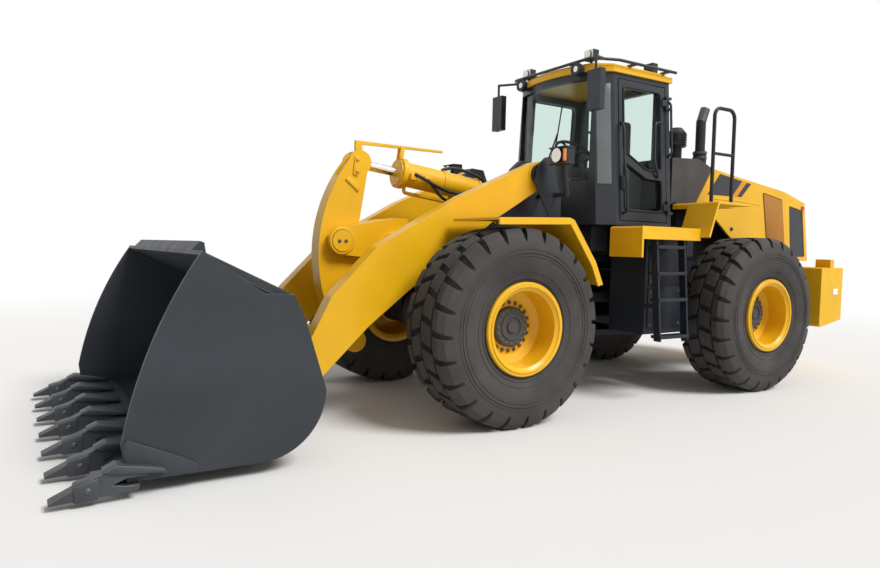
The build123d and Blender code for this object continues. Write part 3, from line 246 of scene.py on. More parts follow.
sides = {"left": 1, "right": -1}
tank_panel, tank_side, panel_bolt_inset = 0.012, 1.0, 0.03
panel_front, panel_rear = -1.80, -2.28
panel_levels = ((0.70, 1.08), (1.12, 1.50))
panel_outlines = []
for hand in sides.values():
    for low, high in panel_levels:
        panel = [(panel_front, low), (panel_rear, low), (panel_rear, high), (panel_front, high)]
        panel_outlines.append(side_plate(panel, hand, tank_side, tank_panel))
plates("tank_side_panels", panel_outlines, near_black, "rear_body", 0.005)
for side_word, hand in sides.items():
    panel_bolts = []
    for x in (panel_front - panel_bolt_inset, panel_rear + panel_bolt_inset):
        for low, high in panel_levels:
            for z in (low + panel_bolt_inset, high - panel_bolt_inset):
                panel_bolts.append(at(x, hand * (tank_side + tank_panel), z))
    bolt_heads(f"tank_panel_bolts_{side_word}", panel_bolts, (0, hand, 0), 0.011, dark_steel, "rear_body")

# Tyres and rims
# Earthmover tyres with cast-in lugs on five-piece steel rims; the rims and lock rings are yellow.
# The planetary hub ends are dark, each ringed by its cover bolts, with the wheel nuts around it.
rubber = enamel(
    "dusty_tyre_rubber", "tyre_rubber", (0.050, 0.046, 0.044), 0.78,
    mottle=0.28, rub=0.16, bump=0.22, grain=110,
)
loader_yellow = enamel(
    "loader_yellow_enamel", "yellow_paint", (0.80, 0.435, 0.006), 0.38, coat=0.12, mottle=0.06, rub=0.22
)
hub_grey = enamel("hub_grey_enamel", "charcoal_paint", (0.062, 0.062, 0.060), 0.5, mottle=0.15, rub=0.3)
wheel_bodies = {"fl": 1, "fr": -1, "rl": 1, "rr": -1}
hub_cover, hub_end = 0.168, 0.095


def turned(name, profiles, centre, axis, material, body, steps=96):
    """Turned rings: each profile is a closed loop of (along, radius) pairs swept round the axis."""
    axis = Vector(axis).normalized()
    shape = bmesh.new()
    for profile in profiles:
        rows = []
        for spoke in spokes_round(axis, steps):
            section = [centre + axis * along + spoke * radius for along, radius in profile]
            rows.append([shape.verts.new(point) for point in section])
        for k in range(steps):
            here, there = rows[k], rows[(k + 1) % steps]
            for j in range(len(profile)):
                following = (j + 1) % len(profile)
                shape.faces.new((here[j], here[following], there[following], there[j]))
    bmesh.ops.remove_doubles(shape, verts=shape.verts[:], dist=1e-6)
    return fitted(name, shape, material, body)


def arc_through(first, second, third):
    """Centre and radius of the circle through three points of a section."""
    (ax, ay), (bx, by), (cx, cy) = first, second, third
    turn = 2 * (ax * (by - cy) + bx * (cy - ay) + cx * (ay - by))
    squares = [x * x + y * y for x, y in (first, second, third)]
    ux = (squares[0] * (by - cy) + squares[1] * (cy - ay) + squares[2] * (ay - by)) / turn
    uy = (squares[0] * (cx - bx) + squares[1] * (ax - cx) + squares[2] * (bx - ax)) / turn
    return ux, uy, math.hypot(ax - ux, ay - uy)


def bolt_ring(count, radius, centre):
    """Places of bolts round a wheel's axle."""
    turns = [2 * math.pi * k / count for k in range(count)]
    return [centre + Vector((radius * math.cos(turn), 0, radius * math.sin(turn))) for turn in turns]


# Section of the sidewall, then each rib's radius, width and height.
wall_x, wall_r, wall_bend = arc_through((0.2685, 0.7585), (0.2985, 0.5579), (0.248, 0.379))
bead_rib, clinch_rib = (0.412, 0.020, 0.006), (0.462, 0.007, 0.004)
shoulder_ribs = ((0.585, 0.008, 0.004), (0.612, 0.014, 0.006), (0.640, 0.007, 0.004))
rib_foot = -0.004
nut_seat = 0.048
cover_face, cover_step, cover_knob = 0.093, 0.104, 0.109
for place, hand in wheel_bodies.items():
    tyre, rim, wheel = f"wheel_{place}_tyre", f"wheel_{place}_rim", f"wheel_{place}"
    low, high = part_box(tyre)
    middle = (low + high) / 2
    outward = Vector((0, hand, 0))
    dress(rubber, tyre)
    dress(loader_yellow, rim)
    repaint(
        rim, hub_grey,
        lambda centre, normal: math.hypot(centre.x - middle.x, centre.z - middle.z) < hub_cover
        and (centre.y - middle.y) * hand > 0.02,
    )
    rings = []
    for way in (1, -1):
        for radius, width, height in (bead_rib, clinch_rib, *shoulder_ribs):
            section = []
            for step, lift in ((-0.5, rib_foot), (-0.3, height), (0.3, height), (0.5, rib_foot)):
                r = radius + step * width
                out = wall_x + math.sqrt(wall_bend ** 2 - (r - wall_r) ** 2) + lift
                section.append((way * out, r))
            rings.append(section)
    turned(f"{tyre}_wall_ribs", rings, middle, (0, 1, 0), rubber, wheel, 128)
    cover_bolts = bolt_ring(16, 0.138, middle + outward * hub_end)
    bolt_heads(f"{rim}_cover_bolts", cover_bolts, outward, 0.010, dark_steel, wheel)
    nuts = bolt_ring(20, 0.198, middle + outward * nut_seat)
    bolt_heads(f"{rim}_nuts", nuts, outward, 0.014, dark_steel, wheel)
    step_ring = [(cover_face, 0.085), (cover_step, 0.085), (cover_step, 0.105), (cover_face, 0.112)]
    knob = [(cover_face, 0.0), (cover_knob, 0.0), (cover_knob, 0.045), (cover_face, 0.052)]
    lock_ring = [(0.281, 0.333), (0.291, 0.337), (0.293, 0.346), (0.285, 0.352)]
    for part_word, sections, finish, steps in (
        ("cover_step", [step_ring, knob], hub_grey, 48),
        ("lock_ring", [lock_ring], loader_yellow, 96),
    ):
        handed = [[(hand * along, radius) for along, radius in section] for section in sections]
        turned(f"{rim}_{part_word}", handed, middle, (0, 1, 0), finish, wheel, steps)

# Boom
# Two thick flame-cut arms on a cross tube, welded, with bushed ends; painted with the rest.
# Pins are held by keeper plates with two bolts, and doubler plates thicken the arms round the pins.
dress(loader_yellow, "boom", "crank_pin", "bucket_pins")
arm_outer, bucket_pin_end, boom_pin_end = 0.630, 0.685, 0.662
bucket_pin, crank_pin, boom_pin = (1.566, 0.427), (1.050, 1.478), (-0.700, 2.130)
doubler, pin_bolt_ring = 0.005, 0.055
for side_word, hand in sides.items():
    centre = at(bucket_pin[0], hand * bucket_pin_end, bucket_pin[1])
    turned(
        f"bucket_pin_cap_{side_word}",
        [[(-0.012 * hand, 0.0), (0.006 * hand, 0.0), (0.006 * hand, 0.040), (-0.012 * hand, 0.044)]],
        centre, (0, 1, 0), dark_steel, "boom_body", 40,
    )
    turned(
        f"arm_rear_boss_{side_word}",
        [[(0, 0.088), (hand * doubler, 0.088), (hand * doubler, 0.116), (0, 0.12)]],
        at(boom_pin[0], hand * arm_outer, boom_pin[1]), (0, 1, 0), loader_yellow, "boom_body",
    )
    boom_pin_bolts = []
    for turn in (0.6, 2.7, 4.7):
        x = boom_pin[0] + pin_bolt_ring * math.cos(turn)
        z = boom_pin[1] + pin_bolt_ring * math.sin(turn)
        boom_pin_bolts.append(at(x, hand * boom_pin_end, z))
    bolt_heads(f"boom_pin_bolts_{side_word}", boom_pin_bolts, (0, hand, 0), 0.014, dark_steel, "front_body")

# Crank
# The bowed lever between bucket link and tilt cylinder, cut from thick plate and forked at both ends.
# A bolted keeper locks its upper pin; the middle pin turns in a flanged boss.
dress(loader_yellow, "crank", "link", "link_pin", "level_bar")
crank_half, cheek_outer = 0.080, 0.157
keeper_face = crank_half + 0.014
keeper = [(0.905, 2.215), (0.858, 2.215), (0.856, 2.075), (0.880, 2.040), (0.925, 2.060)]
stiffener = [(0.995, 2.010), (0.965, 2.030), (0.850, 1.945), (0.872, 1.905)]
keeper_outlines = []
for side_word, hand in sides.items():
    for outline in (keeper, stiffener):
        keeper_outlines.append(side_plate(outline, hand, crank_half - 0.002, 0.016))
    bolt_heads(
        f"crank_keeper_bolts_{side_word}",
        [at(0.882, hand * keeper_face, 2.185), at(0.884, hand * keeper_face, 2.085)],
        (0, hand, 0), 0.015, loader_yellow, "crank_body",
    )
    centre = at(crank_pin[0], hand * cheek_outer, crank_pin[1])
    turned(
        f"crank_boss_ring_{side_word}",
        [[(0, 0.096), (hand * 0.016, 0.096), (hand * 0.016, 0.112), (0, 0.124)]],
        centre, (0, 1, 0), loader_yellow, "boom_body", 64,
    )
    bolt_heads(
        f"crank_pin_bolts_{side_word}",
        [centre + Vector((0.030 * way, hand * 0.022, 0)) for way in (1, -1)],
        (0, hand, 0), 0.013, dark_steel, "boom_body",
    )
plates("crank_keepers", keeper_outlines, loader_yellow, "crank_body", 0.006)

# Tilt cylinder
# Honed steel barrel with a bolted gland, a chromed rod, and a hard pipe strapped under the barrel.
# Rubber hoses leave the ports and run back into the ribbed boot at the cylinder's tail.
chrome = enamel(
    "hard_chrome", "chrome_rod", (0.78, 0.79, 0.81), 0.17, metal=1.0, mottle=0.03, rub=0.0, bump=0.01
)
hose_rubber = enamel(
    "hose_rubber", "black_paint", (0.016, 0.017, 0.02), 0.55, mottle=0.2, rub=0.05, grain=300
)
dress(loader_yellow, "tilt_barrel", "tilt_pin", "lift_barrels")
dress(near_black, "steer_barrel_left", "steer_barrel_right")
dress(chrome, "tilt_rod", "lift_rods", "steer_rod_left", "steer_rod_right")
tilt_pin, crank_top = at(-0.735, 0, 1.962), at(0.850, 0, 2.166)
tilt_along = (crank_top - tilt_pin).normalized()
tilt_up = Vector((-tilt_along.z, 0, tilt_along.x))
repaint("tilt_rod", loader_yellow, lambda centre, normal: (centre - crank_top).length < 0.12)
tilt_gland = 1.205


def on_barrel(along, out, turn):
    """Point at a distance along the tilt barrel, out from its axis, turned from the top to the left."""
    lean = tilt_up * math.cos(turn) + Vector((0, 1, 0)) * math.sin(turn)
    return tilt_pin + tilt_along * along + lean * out


gland_flange = [(-0.075, 0.110), (-0.068, 0.140), (-0.020, 0.140), (-0.012, 0.110)]
barrel_rings = [
    [(tilt_gland + along, radius) for along, radius in gland_flange],
    [(0.300, 0.108), (0.304, 0.121), (0.330, 0.121), (0.334, 0.108)],
    [(0.700, 0.108), (0.704, 0.120), (0.735, 0.120), (0.739, 0.108)],
]
turned("tilt_gland_flange", barrel_rings, tilt_pin, tilt_along, loader_yellow, "tilt_barrel_body", 72)
bolt_heads(
    "tilt_gland_bolts",
    [on_barrel(tilt_gland - 0.018, 0.126, 2 * math.pi * (k + 0.5) / 10) for k in range(10)],
    tilt_along, 0.009, loader_yellow, "tilt_barrel_body",
)


def round_section(name, kind, points, radius):
    """Curve with closed ends and a round section, and the one spline that it follows."""
    curve = bpy.data.curves.new(name, "CURVE")
    curve.dimensions = "3D"
    curve.bevel_depth = radius
    curve.bevel_resolution = 4
    curve.resolution_u = 10
    curve.use_fill_caps = True
    spline = curve.splines.new(kind)
    spline.points.add(len(points) - 1)
    for knot, point in zip(spline.points, points):
        knot.co = (*point, 1)
    return curve, spline


def smooth_line(name, points, radius, material, body):
    """Hose or bead of weld on one smooth line, led by its control points."""
    curve, spline = round_section(name, "NURBS", points, radius)
    spline.use_endpoint_u = True
    spline.order_u = 3
    return mounted(name, curve, material, body)


def tube_centre(points, bend):
    """Centre line of a bent steel tube: straight runs joined by bends."""
    route = [Vector(points[0])]
    for before, corner, after in zip(points, points[1:], points[2:]):
        corner = Vector(corner)
        back, on = Vector(before) - corner, Vector(after) - corner
        reach = min(bend, 0.45 * back.length, 0.45 * on.length)
        start, end = corner + back.normalized() * reach, corner + on.normalized() * reach
        for k in range(9):
            t = k / 8
            route.append(start * (1 - t) ** 2 + corner * (2 * t * (1 - t)) + end * t ** 2)
    return route + [Vector(points[-1])]


def bent_tube(name, points, radius, bend, material, body):
    """Rigid tube, rail or seal bent along straight runs, with closed ends."""
    curve, _ = round_section(name, "POLY", tube_centre(points, bend), radius)
    return mounted(name, curve, material, body)


pipe_stops = ((1.10, 0.10), (1.10, 0.168), (0.33, 0.168), (0.33, 0.10))
bent_tube(
    "tilt_hard_pipe", [on_barrel(along, out, math.pi) for along, out in pipe_stops],
    0.017, 0.04, loader_yellow, "tilt_barrel_body",
)
port_half, port_low, port_high, port_depth = 0.035, 0.06, 0.148, 0.06
port_blocks = []
for along in (1.085, 0.94, 0.42):
    corners = (
        (along - port_half, port_low), (along + port_half, port_low),
        (along + port_half, port_high), (along - port_half, port_high),
    )
    port_blocks.append(([on_barrel(a, out, math.pi / 2) for a, out in corners], tilt_up * -port_depth))
plates("tilt_port_blocks", port_blocks, loader_yellow, "tilt_barrel_body", 0.008)
boot_start, boot_fold, boot_folds = 0.135, 0.026, 7
fold_section = ((0.0, 0.06), (0.004, 0.122), (0.018, 0.122), (boot_fold, 0.06))
boot_sections = []
for k in range(boot_folds):
    fold_start = boot_start + boot_fold * k
    boot_sections.append([(fold_start + along, radius) for along, radius in fold_section])
turned("tilt_tail_boot", boot_sections, tilt_pin, tilt_along, hose_rubber, "tilt_barrel_body", 64)
hose_size = 0.030
hose_routes = {
    "side": [
        (1.085, 0.145, 1.60), (1.00, 0.175, 1.75), (0.88, 0.185, 1.95), (0.74, 0.190, 2.10),
        (0.60, 0.190, 2.10), (0.47, 0.180, 1.95), (0.36, 0.160, 1.75), (0.27, 0.130, 1.55),
        (0.20, 0.105, 1.45),
    ],
    "low": [
        (0.94, 0.145, 1.75), (0.88, 0.185, 2.05), (0.78, 0.215, 2.40), (0.66, 0.225, 2.55),
        (0.54, 0.220, 2.55), (0.43, 0.205, 2.40), (0.34, 0.175, 2.20), (0.26, 0.135, 2.05),
        (0.20, 0.105, 2.00),
    ],
    "top": [
        (0.74, 0.118, 0.30), (0.68, 0.150, 0.30), (0.60, 0.165, 0.32), (0.50, 0.165, 0.40),
        (0.40, 0.155, 0.50), (0.31, 0.135, 0.60), (0.24, 0.110, 0.65),
    ],
}


def line_length(piece):
    """Length of a curve's centre line."""
    bare = bpy.data.objects.new("bare_line", piece.data.copy())
    bare.data.bevel_depth = 0
    path = bare.to_mesh()
    ends = [[path.vertices[k].co for k in edge.vertices] for edge in path.edges]
    length = sum((start - end).length for start, end in ends)
    bare.to_mesh_clear()
    bpy.data.objects.remove(bare)
    return length


for route_word, route in hose_routes.items():
    points = [on_barrel(*stop) for stop in route]
    hose = smooth_line(f"tilt_hose_{route_word}", points, hose_size / 2, hose_rubber, "tilt_barrel_body")
    line_length(hose)
guide = [(1.16, 0.10), (1.20, 0.10), (1.20, 0.235), (1.16, 0.235)]
plates(
    "level_guide",
    [
        ([on_barrel(a, o, 0) + Vector((0, y, 0)) for a, o in guide], Vector((0, 0.012, 0)))
        for y in (0.020, -0.032)
    ],
    loader_yellow, "tilt_barrel_body", 0.003,
)

# Bucket
# Welded from rolled wear plate: a curved wrapper, two side plates and a bevelled cutting edge.
# The paint is satin charcoal; beads of weld run along the joints and wear strips line the heel.
bucket_paint = enamel(
    "bucket_charcoal", "charcoal_paint", (0.027, 0.031, 0.037), 0.52,
    mottle=0.12, rub=0.16, bump=0.05, grain=90,
)
dress(bucket_paint, "bucket")
bucket_half = 1.45
heel, heel_radius = (2.135, 0.510), 0.422
heel_strips = []
for y in (-1.20, -0.72, -0.24, 0.24, 0.72, 1.20):
    outline = []
    for out in (heel_radius - 0.002, heel_radius + 0.016):
        arc = [
            at(heel[0] - out * math.sin(math.radians(a)), y - 0.05, heel[1] - out * math.cos(math.radians(a)))
            for a in range(2, 60, 6)
        ]
        outline += arc if not outline else arc[::-1]
    heel_strips.append((outline, Vector((0, 0.10, 0))))
plates("bucket_heel_strips", heel_strips, bucket_paint, "bucket_body", 0.003)
gusset = [(1.945, 1.100), (2.124, 1.100), (2.470, 1.345), (2.480, 1.384), (1.945, 1.130)]
side_inner = bucket_half - 0.030
plates(
    "bucket_top_gussets", [side_plate(gusset, hand, side_inner - 0.012, 0.014) for hand in sides.values()],
    bucket_paint, "bucket_body", 0.0,
)
corner = [(2.52, 0.094), (2.905, 0.094), (2.925, 0.30), (2.900, 0.335), (2.62, 0.205), (2.52, 0.150)]
plates(
    "bucket_corner_plates", [side_plate(corner, hand, bucket_half - 0.002, 0.022) for hand in sides.values()],
    bucket_paint, "bucket_body", 0.006,
)
seam = [(2.494, 1.386), (2.124, 1.131), (1.938, 1.121), (1.866, 0.975), (1.716, 0.52)]
for side_word, hand in sides.items():
    smooth_line(
        f"bucket_weld_{side_word}", [at(x, hand * side_inner, z) for x, z in seam],
        0.007, bucket_paint, "bucket_body",
    )

# Bucket teeth
# Cast adapters straddle the cutting edge and carry replaceable pointed tips, each held by a cross pin.
# Cast skin shows through thin paint, polished where the tips enter the ground.
cast_steel = enamel(
    "cast_tooth_steel", "steel", (0.055, 0.06, 0.068), 0.5,
    metal=0.35, mottle=0.25, rub=0.5, bump=0.25, grain=60,
)
dress(cast_steel, "bucket_teeth")
teeth_low, teeth_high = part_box("bucket_teeth")
tooth_count = 7
tooth_half = 0.045
pitch = (teeth_high.y - teeth_low.y - 2 * tooth_half) / (tooth_count - 1)
tooth_rows = [teeth_low.y + tooth_half + k * pitch for k in range(tooth_count)]
socket = [(3.045, 0.158), (3.045, 0.036), (3.170, 0.030), (3.170, 0.126)]
strap = [
    (2.70, 0.136), (2.71, 0.165), (2.83, 0.192), (2.96, 0.216),
    (3.03, 0.182), (2.97, 0.165), (2.83, 0.150),
]
socket_half, strap_half = 0.056, 0.062
for part_name, outline, half, edge in (
    ("tooth_tip_sockets", socket, socket_half, 0.012),
    ("tooth_adapter_straps", strap, strap_half, 0.010),
):
    blocks = [([at(x, y - half, z) for x, z in outline], Vector((0, 2 * half, 0))) for y in tooth_rows]
    plates(part_name, blocks, cast_steel, "bucket_body", edge)
for side_word, hand in sides.items():
    pins = [at(3.10, y + hand * socket_half, 0.095) for y in tooth_rows]
    bolt_heads(f"tooth_pins_{side_word}", pins, (0, hand, 0), 0.013, dark_steel, "bucket_body")

# Front fenders
# Bent sheet over the front wheels, with a folded lip along the outer edge and a web inside.
# Yellow on both faces; the lip is doubled for stiffness.
dress(loader_yellow, "front_fenders")
fender_line = [
    (0.268, 1.683), (-0.45, 1.708), (-0.50, 1.690),
    (-0.735, 1.375), (-0.765, 1.33), (-0.845, 1.160),
]
inward = [(0, -1), (0, -1), (0.75, -0.66), (0.8, -0.6), (0.87, -0.5), (0.93, -0.37)]
fender_outer, lip_drop = 1.34, 0.055
lip_line = [
    (x + lean_x * lip_drop, z + lean_z * lip_drop) for (x, z), (lean_x, lean_z) in zip(fender_line, inward)
]
lips = []
for hand in sides.values():
    for k in range(len(fender_line) - 1):
        run = [fender_line[k], fender_line[k + 1], lip_line[k + 1], lip_line[k]]
        lips.append(side_plate(run, hand, fender_outer - 0.012, 0.014))
plates("front_fender_lips", lips, loader_yellow, "front_body", 0.0)

# Headlamps
# Moulded black housings on tube arms, each with a clear lamp, an amber indicator and a small visor.
# A dark plate beside the boom's rear end carries the arm and shields the hoses.
moulded_black = enamel(
    "moulded_black", "black_paint", (0.020, 0.022, 0.026), 0.5, mottle=0.15, rub=0.12, grain=220
)


def lens(name, slot, colour, glow, clear):
    """Moulded lamp lens: tinted, fluted and a little bright of itself."""
    material = bpy.data.materials.new(name)
    material["slot"] = slot
    material.use_nodes = True
    nodes, links = material.node_tree.nodes, material.node_tree.links
    shader = nodes["Principled BSDF"]
    shader.inputs["Base Color"].default_value = (*colour, 1)
    shader.inputs["Roughness"].default_value = 0.12
    shader.inputs["Transmission Weight"].default_value = clear
    shader.inputs["Coat Weight"].default_value = 0.6
    shader.inputs["Emission Color"].default_value = (*colour, 1)
    shader.inputs["Emission Strength"].default_value = glow
    spot = nodes.new("ShaderNodeTexCoord")
    flutes = nodes.new("ShaderNodeTexWave")
    flutes.bands_direction = "Y"
    flutes.inputs["Scale"].default_value = 22
    links.new(spot.outputs["Object"], flutes.inputs["Vector"])
    relief = nodes.new("ShaderNodeBump")
    relief.inputs["Strength"].default_value = 0.35
    relief.inputs["Distance"].default_value = 0.004
    links.new(flutes.outputs["Fac"], relief.inputs["Height"])
    links.new(relief.outputs["Normal"], shader.inputs["Normal"])
    return material


clear_lens = lens("clear_lamp_lens", "cab_glazing", (0.86, 0.87, 0.84), 0.25, 0.15)
amber_lens = lens("amber_lamp_lens", "red_lens", (0.90, 0.26, 0.02), 0.15, 0.1)
red_lens = lens("red_lamp_lens", "red_lens", (0.62, 0.015, 0.012), 0.12, 0.1)
dress(moulded_black, "headlamps")
lamp_x, lamp_y, lamp_z = -0.733, 0.895, 2.280
repaint("headlamps", clear_lens, lambda centre, normal: centre.x > front_x + lamp_x + 0.06)
carrier = [
    (-0.655, 2.225), (-0.72, 2.285), (-0.80, 2.30), (-0.93, 1.93),
    (-0.93, 1.72), (-0.80, 1.72), (-0.60, 2.06),
]
carrier_y = 0.672
bezel_half, indicator_half = 0.112, 0.055
lamp_trim, indicators = [], []
for hand in sides.values():
    lamp = at(lamp_x, hand * lamp_y, lamp_z)
    for z in (-0.078, 0.064):
        lamp_trim.append(brick(
            lamp + Vector((-0.055, -bezel_half, z)), lamp + Vector((0.058, bezel_half, z + 0.014))
        ))
    low_y, high_y = sorted((hand * 0.070, hand * 0.102))
    indicators.append(brick(
        lamp + Vector((0.030, low_y, -indicator_half)), lamp + Vector((0.052, high_y, indicator_half))
    ))
carriers = [side_plate(carrier, hand, carrier_y, 0.016) for hand in sides.values()]
plates("headlamp_bezels", lamp_trim, moulded_black, "front_body", 0.004)
plates("headlamp_indicators", indicators, amber_lens, "front_body", 0.006)
plates("headlamp_carriers", carriers, near_black, "front_body", 0.004)

# Cab shell and roof
# Folded and welded sheet posts round large panes, with the roof panel bolted on top.
# Posts and lower panels are near-black, the roof band is yellow, and black rubber seals the panes.
cab_black = enamel(
    "cab_black_enamel", "black_paint", (0.017, 0.021, 0.028), 0.38, coat=0.15, mottle=0.15, rub=0.1
)
dress(cab_black, "cab_body", "door", "roof_rail")
dress(loader_yellow, "cab_roof")
cab_foot, cab_head, foot_half, head_half = 1.70, 3.20, 0.75, 0.65


def cab_side(z):
    """Half-width of the cab at a height: the sides lean inward."""
    return foot_half + (head_half - foot_half) * (z - cab_foot) / (cab_head - cab_foot)


def seal(name, corners, hand, body):
    """Rubber seal round a side pane, on the leaning side of the cab."""
    proud, radius, corner_bend = 0.004, 0.009, 0.05
    loop = [at(x, hand * (cab_side(z) + proud), z) for x, z in corners]
    middle = (loop[0] + loop[1]) / 2
    return bent_tube(name, [middle, *loop[1:], loop[0], middle], radius, corner_bend, hose_rubber, body)


upper_pane = [(-1.721, 2.44), (-1.721, 3.075), (-2.260, 3.075), (-2.260, 2.27), (-2.040, 2.27)]
lower_pane = [(-1.721, 1.85), (-1.721, 2.33), (-2.040, 2.18), (-2.260, 2.18), (-2.260, 1.85)]
right_pane = [(-1.646, 2.06), (-1.646, 3.13), (-2.28, 3.13), (-2.28, 2.06)]
seal("door_upper_seal", upper_pane, sides["left"], "door_body")
seal("door_lower_seal", lower_pane, sides["left"], "door_body")
seal("right_pane_seal", right_pane, sides["right"], "rear_body")
grab = [(-1.690, 2.72), (-1.672, 2.66), (-1.672, 2.33), (-1.700, 2.12), (-1.700, 1.84)]
grab_route = [at(x, cab_side(z) + 0.055, z) for x, z in grab]
grab_route[0].y -= 0.055
grab_route.append(at(-1.70, cab_side(1.82) + 0.002, 1.82))
bent_tube("door_grab_rail", grab_route, 0.013, 0.06, moulded_black, "door_body")
bent_tube(
    "door_inner_rail",
    [at(-2.285, cab_side(2.78) + 0.004, 2.78), at(-2.15, cab_side(2.76) + 0.03, 2.76),
     at(-2.13, cab_side(2.36) + 0.03, 2.36), at(-2.18, cab_side(2.24) + 0.03, 2.24),
     at(-2.20, cab_side(2.22) + 0.002, 2.20)],
    0.012, 0.05, moulded_black, "door_body",
)
bent_tube(
    "cab_rear_rail",
    [at(-2.375, cab_side(3.02) - 0.02, 3.02), at(-2.375, cab_side(2.98) + 0.045, 2.98),
     at(-2.375, cab_side(2.46) + 0.045, 2.46), at(-2.375, cab_side(2.42) - 0.02, 2.42)],
    0.013, 0.05, moulded_black, "rear_body",
)
latch = [(-1.665, 2.19), (-1.705, 2.19), (-1.705, 2.05), (-1.665, 2.05)]
plates(
    "door_latch", [([at(x, cab_side(z) - 0.004, z) for x, z in latch], Vector((0, 0.028, 0)))], moulded_black,
    "door_body", 0.008,
)

# Cab glazing
# Flat tempered panes with a faint green tint, bonded or gasketed into the frames.
# A wiper sweeps the front pane from its foot.
glazing = bpy.data.materials.new("tinted_safety_glass")
glazing["slot"] = "cab_glazing"
glazing.use_nodes = True
glass_nodes, glass_links = glazing.node_tree.nodes, glazing.node_tree.links
pane = glass_nodes["Principled BSDF"]
pane.inputs["Base Color"].default_value = (0.80, 0.89, 0.86, 1)
pane.inputs["Transmission Weight"].default_value = 1.0
pane.inputs["IOR"].default_value = 1.16
film_spot = glass_nodes.new("ShaderNodeTexCoord")
film = glass_nodes.new("ShaderNodeTexNoise")
film.inputs["Scale"].default_value = 3.0
film_range = glass_nodes.new("ShaderNodeMapRange")
film_range.inputs["To Min"].default_value = 0.0
film_range.inputs["To Max"].default_value = 0.05
glass_links.new(film_spot.outputs["Object"], film.inputs["Vector"])
glass_links.new(film.outputs["Fac"], film_range.inputs["Value"])
glass_links.new(film_range.outputs["Result"], pane.inputs["Roughness"])
dress(glazing, "cab_glass", "door_glass")
dark_pane = enamel(
    "dark_bonded_glass", "cab_glazing", (0.10, 0.125, 0.125), 0.12, coat=1.0, mottle=0.2, rub=0.0, bump=0.0
)
post_front, post_depth, post_width = -1.425, 0.175, 0.1
pane_thick, pane_sunk = 0.008, 0.002
corner_panes = []
for hand in sides.values():
    outward = Vector((0.496, hand * 0.868, 0))
    outline = []
    for share, z in ((0.08, 2.10), (0.80, 2.10), (0.80, 3.08), (0.08, 3.08)):
        y = hand * (cab_side(z) - post_width * (1 - share))
        outline.append(at(post_front - post_depth * share, y, z) - outward * pane_sunk)
    corner_panes.append((outline, outward * pane_thick))
plates("cab_corner_panes", corner_panes, dark_pane, "rear_body", 0.003)
screen_x = -1.312
bent_tube(
    "wiper_arm",
    [at(screen_x - 0.004, -0.06, 2.10), at(screen_x + 0.022, -0.06, 2.13), at(screen_x + 0.022, 0.20, 2.62)],
    0.008, 0.02, moulded_black, "rear_body",
)
bent_tube(
    "wiper_blade", [at(screen_x + 0.014, 0.14, 2.36), at(screen_x + 0.014, 0.25, 2.90)],
    0.007, 0.01, hose_rubber, "rear_body",
)

# Cab inside
# Sprung driver's seat between two consoles, a tilting wheel column and a floor mat.
# Fabric-covered foam cushions, moulded plastic everywhere else; it takes the place of the plain blocks.
inside_grey = enamel(
    "inside_grey_plastic", "interior_plastic", (0.075, 0.078, 0.082), 0.62, mottle=0.1, rub=0.1, bump=0.12
)
seat_cloth = enamel(
    "seat_cloth", "interior_plastic", (0.040, 0.043, 0.050), 0.85, mottle=0.2, rub=0.0, bump=0.5, grain=420
)
console_foot, seat_x = 1.756, -2.08


def cushion(name, low, high, soft):
    """Foam block with well-rounded edges and a crowned face."""
    shape = bmesh.new()
    outline, thickness = brick(low, high)
    put_prism(shape, outline, thickness, soft)
    bmesh.ops.subdivide_edges(shape, edges=shape.edges[:], cuts=2, use_grid_fill=True)
    piece = fitted(name, shape, seat_cloth, "rear_body", 60)
    padding = piece.modifiers.new("padding", "SUBSURF")
    padding.levels = padding.render_levels = 1
    return piece


seat_base = cushion("seat_cushion", at(seat_x - 0.24, -0.25, 2.11), at(seat_x + 0.26, 0.25, 2.24), 0.04)
seat_back = cushion("seat_back", at(seat_x - 0.25, -0.24, 2.24), at(seat_x - 0.12, 0.24, 2.85), 0.04)
headrest = cushion("seat_headrest", at(seat_x - 0.24, -0.13, 2.87), at(seat_x - 0.14, 0.13, 3.01), 0.035)
consoles = [
    brick(at(seat_x - 0.20, -0.20, console_foot), at(seat_x + 0.20, 0.20, 2.11)),
    brick(at(-1.60, -0.33, console_foot), at(-1.51, 0.33, 2.02)),
    brick(at(seat_x - 0.22, -0.42, console_foot), at(seat_x + 0.34, -0.29, 2.38)),
    brick(at(seat_x - 0.22, 0.29, console_foot), at(seat_x + 0.34, 0.42, 2.38)),
    brick(at(seat_x - 0.215, -0.05, 2.80), at(seat_x - 0.185, 0.05, 2.90)),
]
inside = plates("cab_consoles", consoles, inside_grey, "rear_body", 0.012)
column_foot, wheel_centre = at(-1.56, 0, 1.98), at(-1.69, 0, 2.50)
wheel_normal = Vector((-0.45, 0, 0.9)).normalized()
column = bent_tube("wheel_column", [column_foot, wheel_centre], 0.034, 0.02, inside_grey, "rear_body")
ring_radius, grip_radius, grip_steps = 0.190, 0.016, 12
grip_turns = [2 * math.pi * k / grip_steps for k in range(grip_steps)]
ring_section = [
    (grip_radius * math.sin(turn), ring_radius + grip_radius * math.cos(turn)) for turn in grip_turns
]
hub_section = [(-0.02, 0.0), (0.02, 0.0), (0.02, 0.05), (-0.02, 0.06)]
steering_wheel = turned(
    "steering_wheel", [ring_section, hub_section], wheel_centre, wheel_normal, moulded_black, "rear_body", 48
)
spoke_side = Vector((0, 1, 0))
spoke_ahead = wheel_normal.cross(spoke_side)
spokes = []
for angle in (0.5, 2.6, 4.7):
    ray = spoke_side * math.cos(angle) + spoke_ahead * math.sin(angle)
    wide = wheel_normal.cross(ray) * 0.016
    near, far = wheel_centre + ray * 0.04, wheel_centre + ray * ring_radius
    spokes.append(([near - wide, far - wide, far + wide, near + wide], wheel_normal * 0.010))
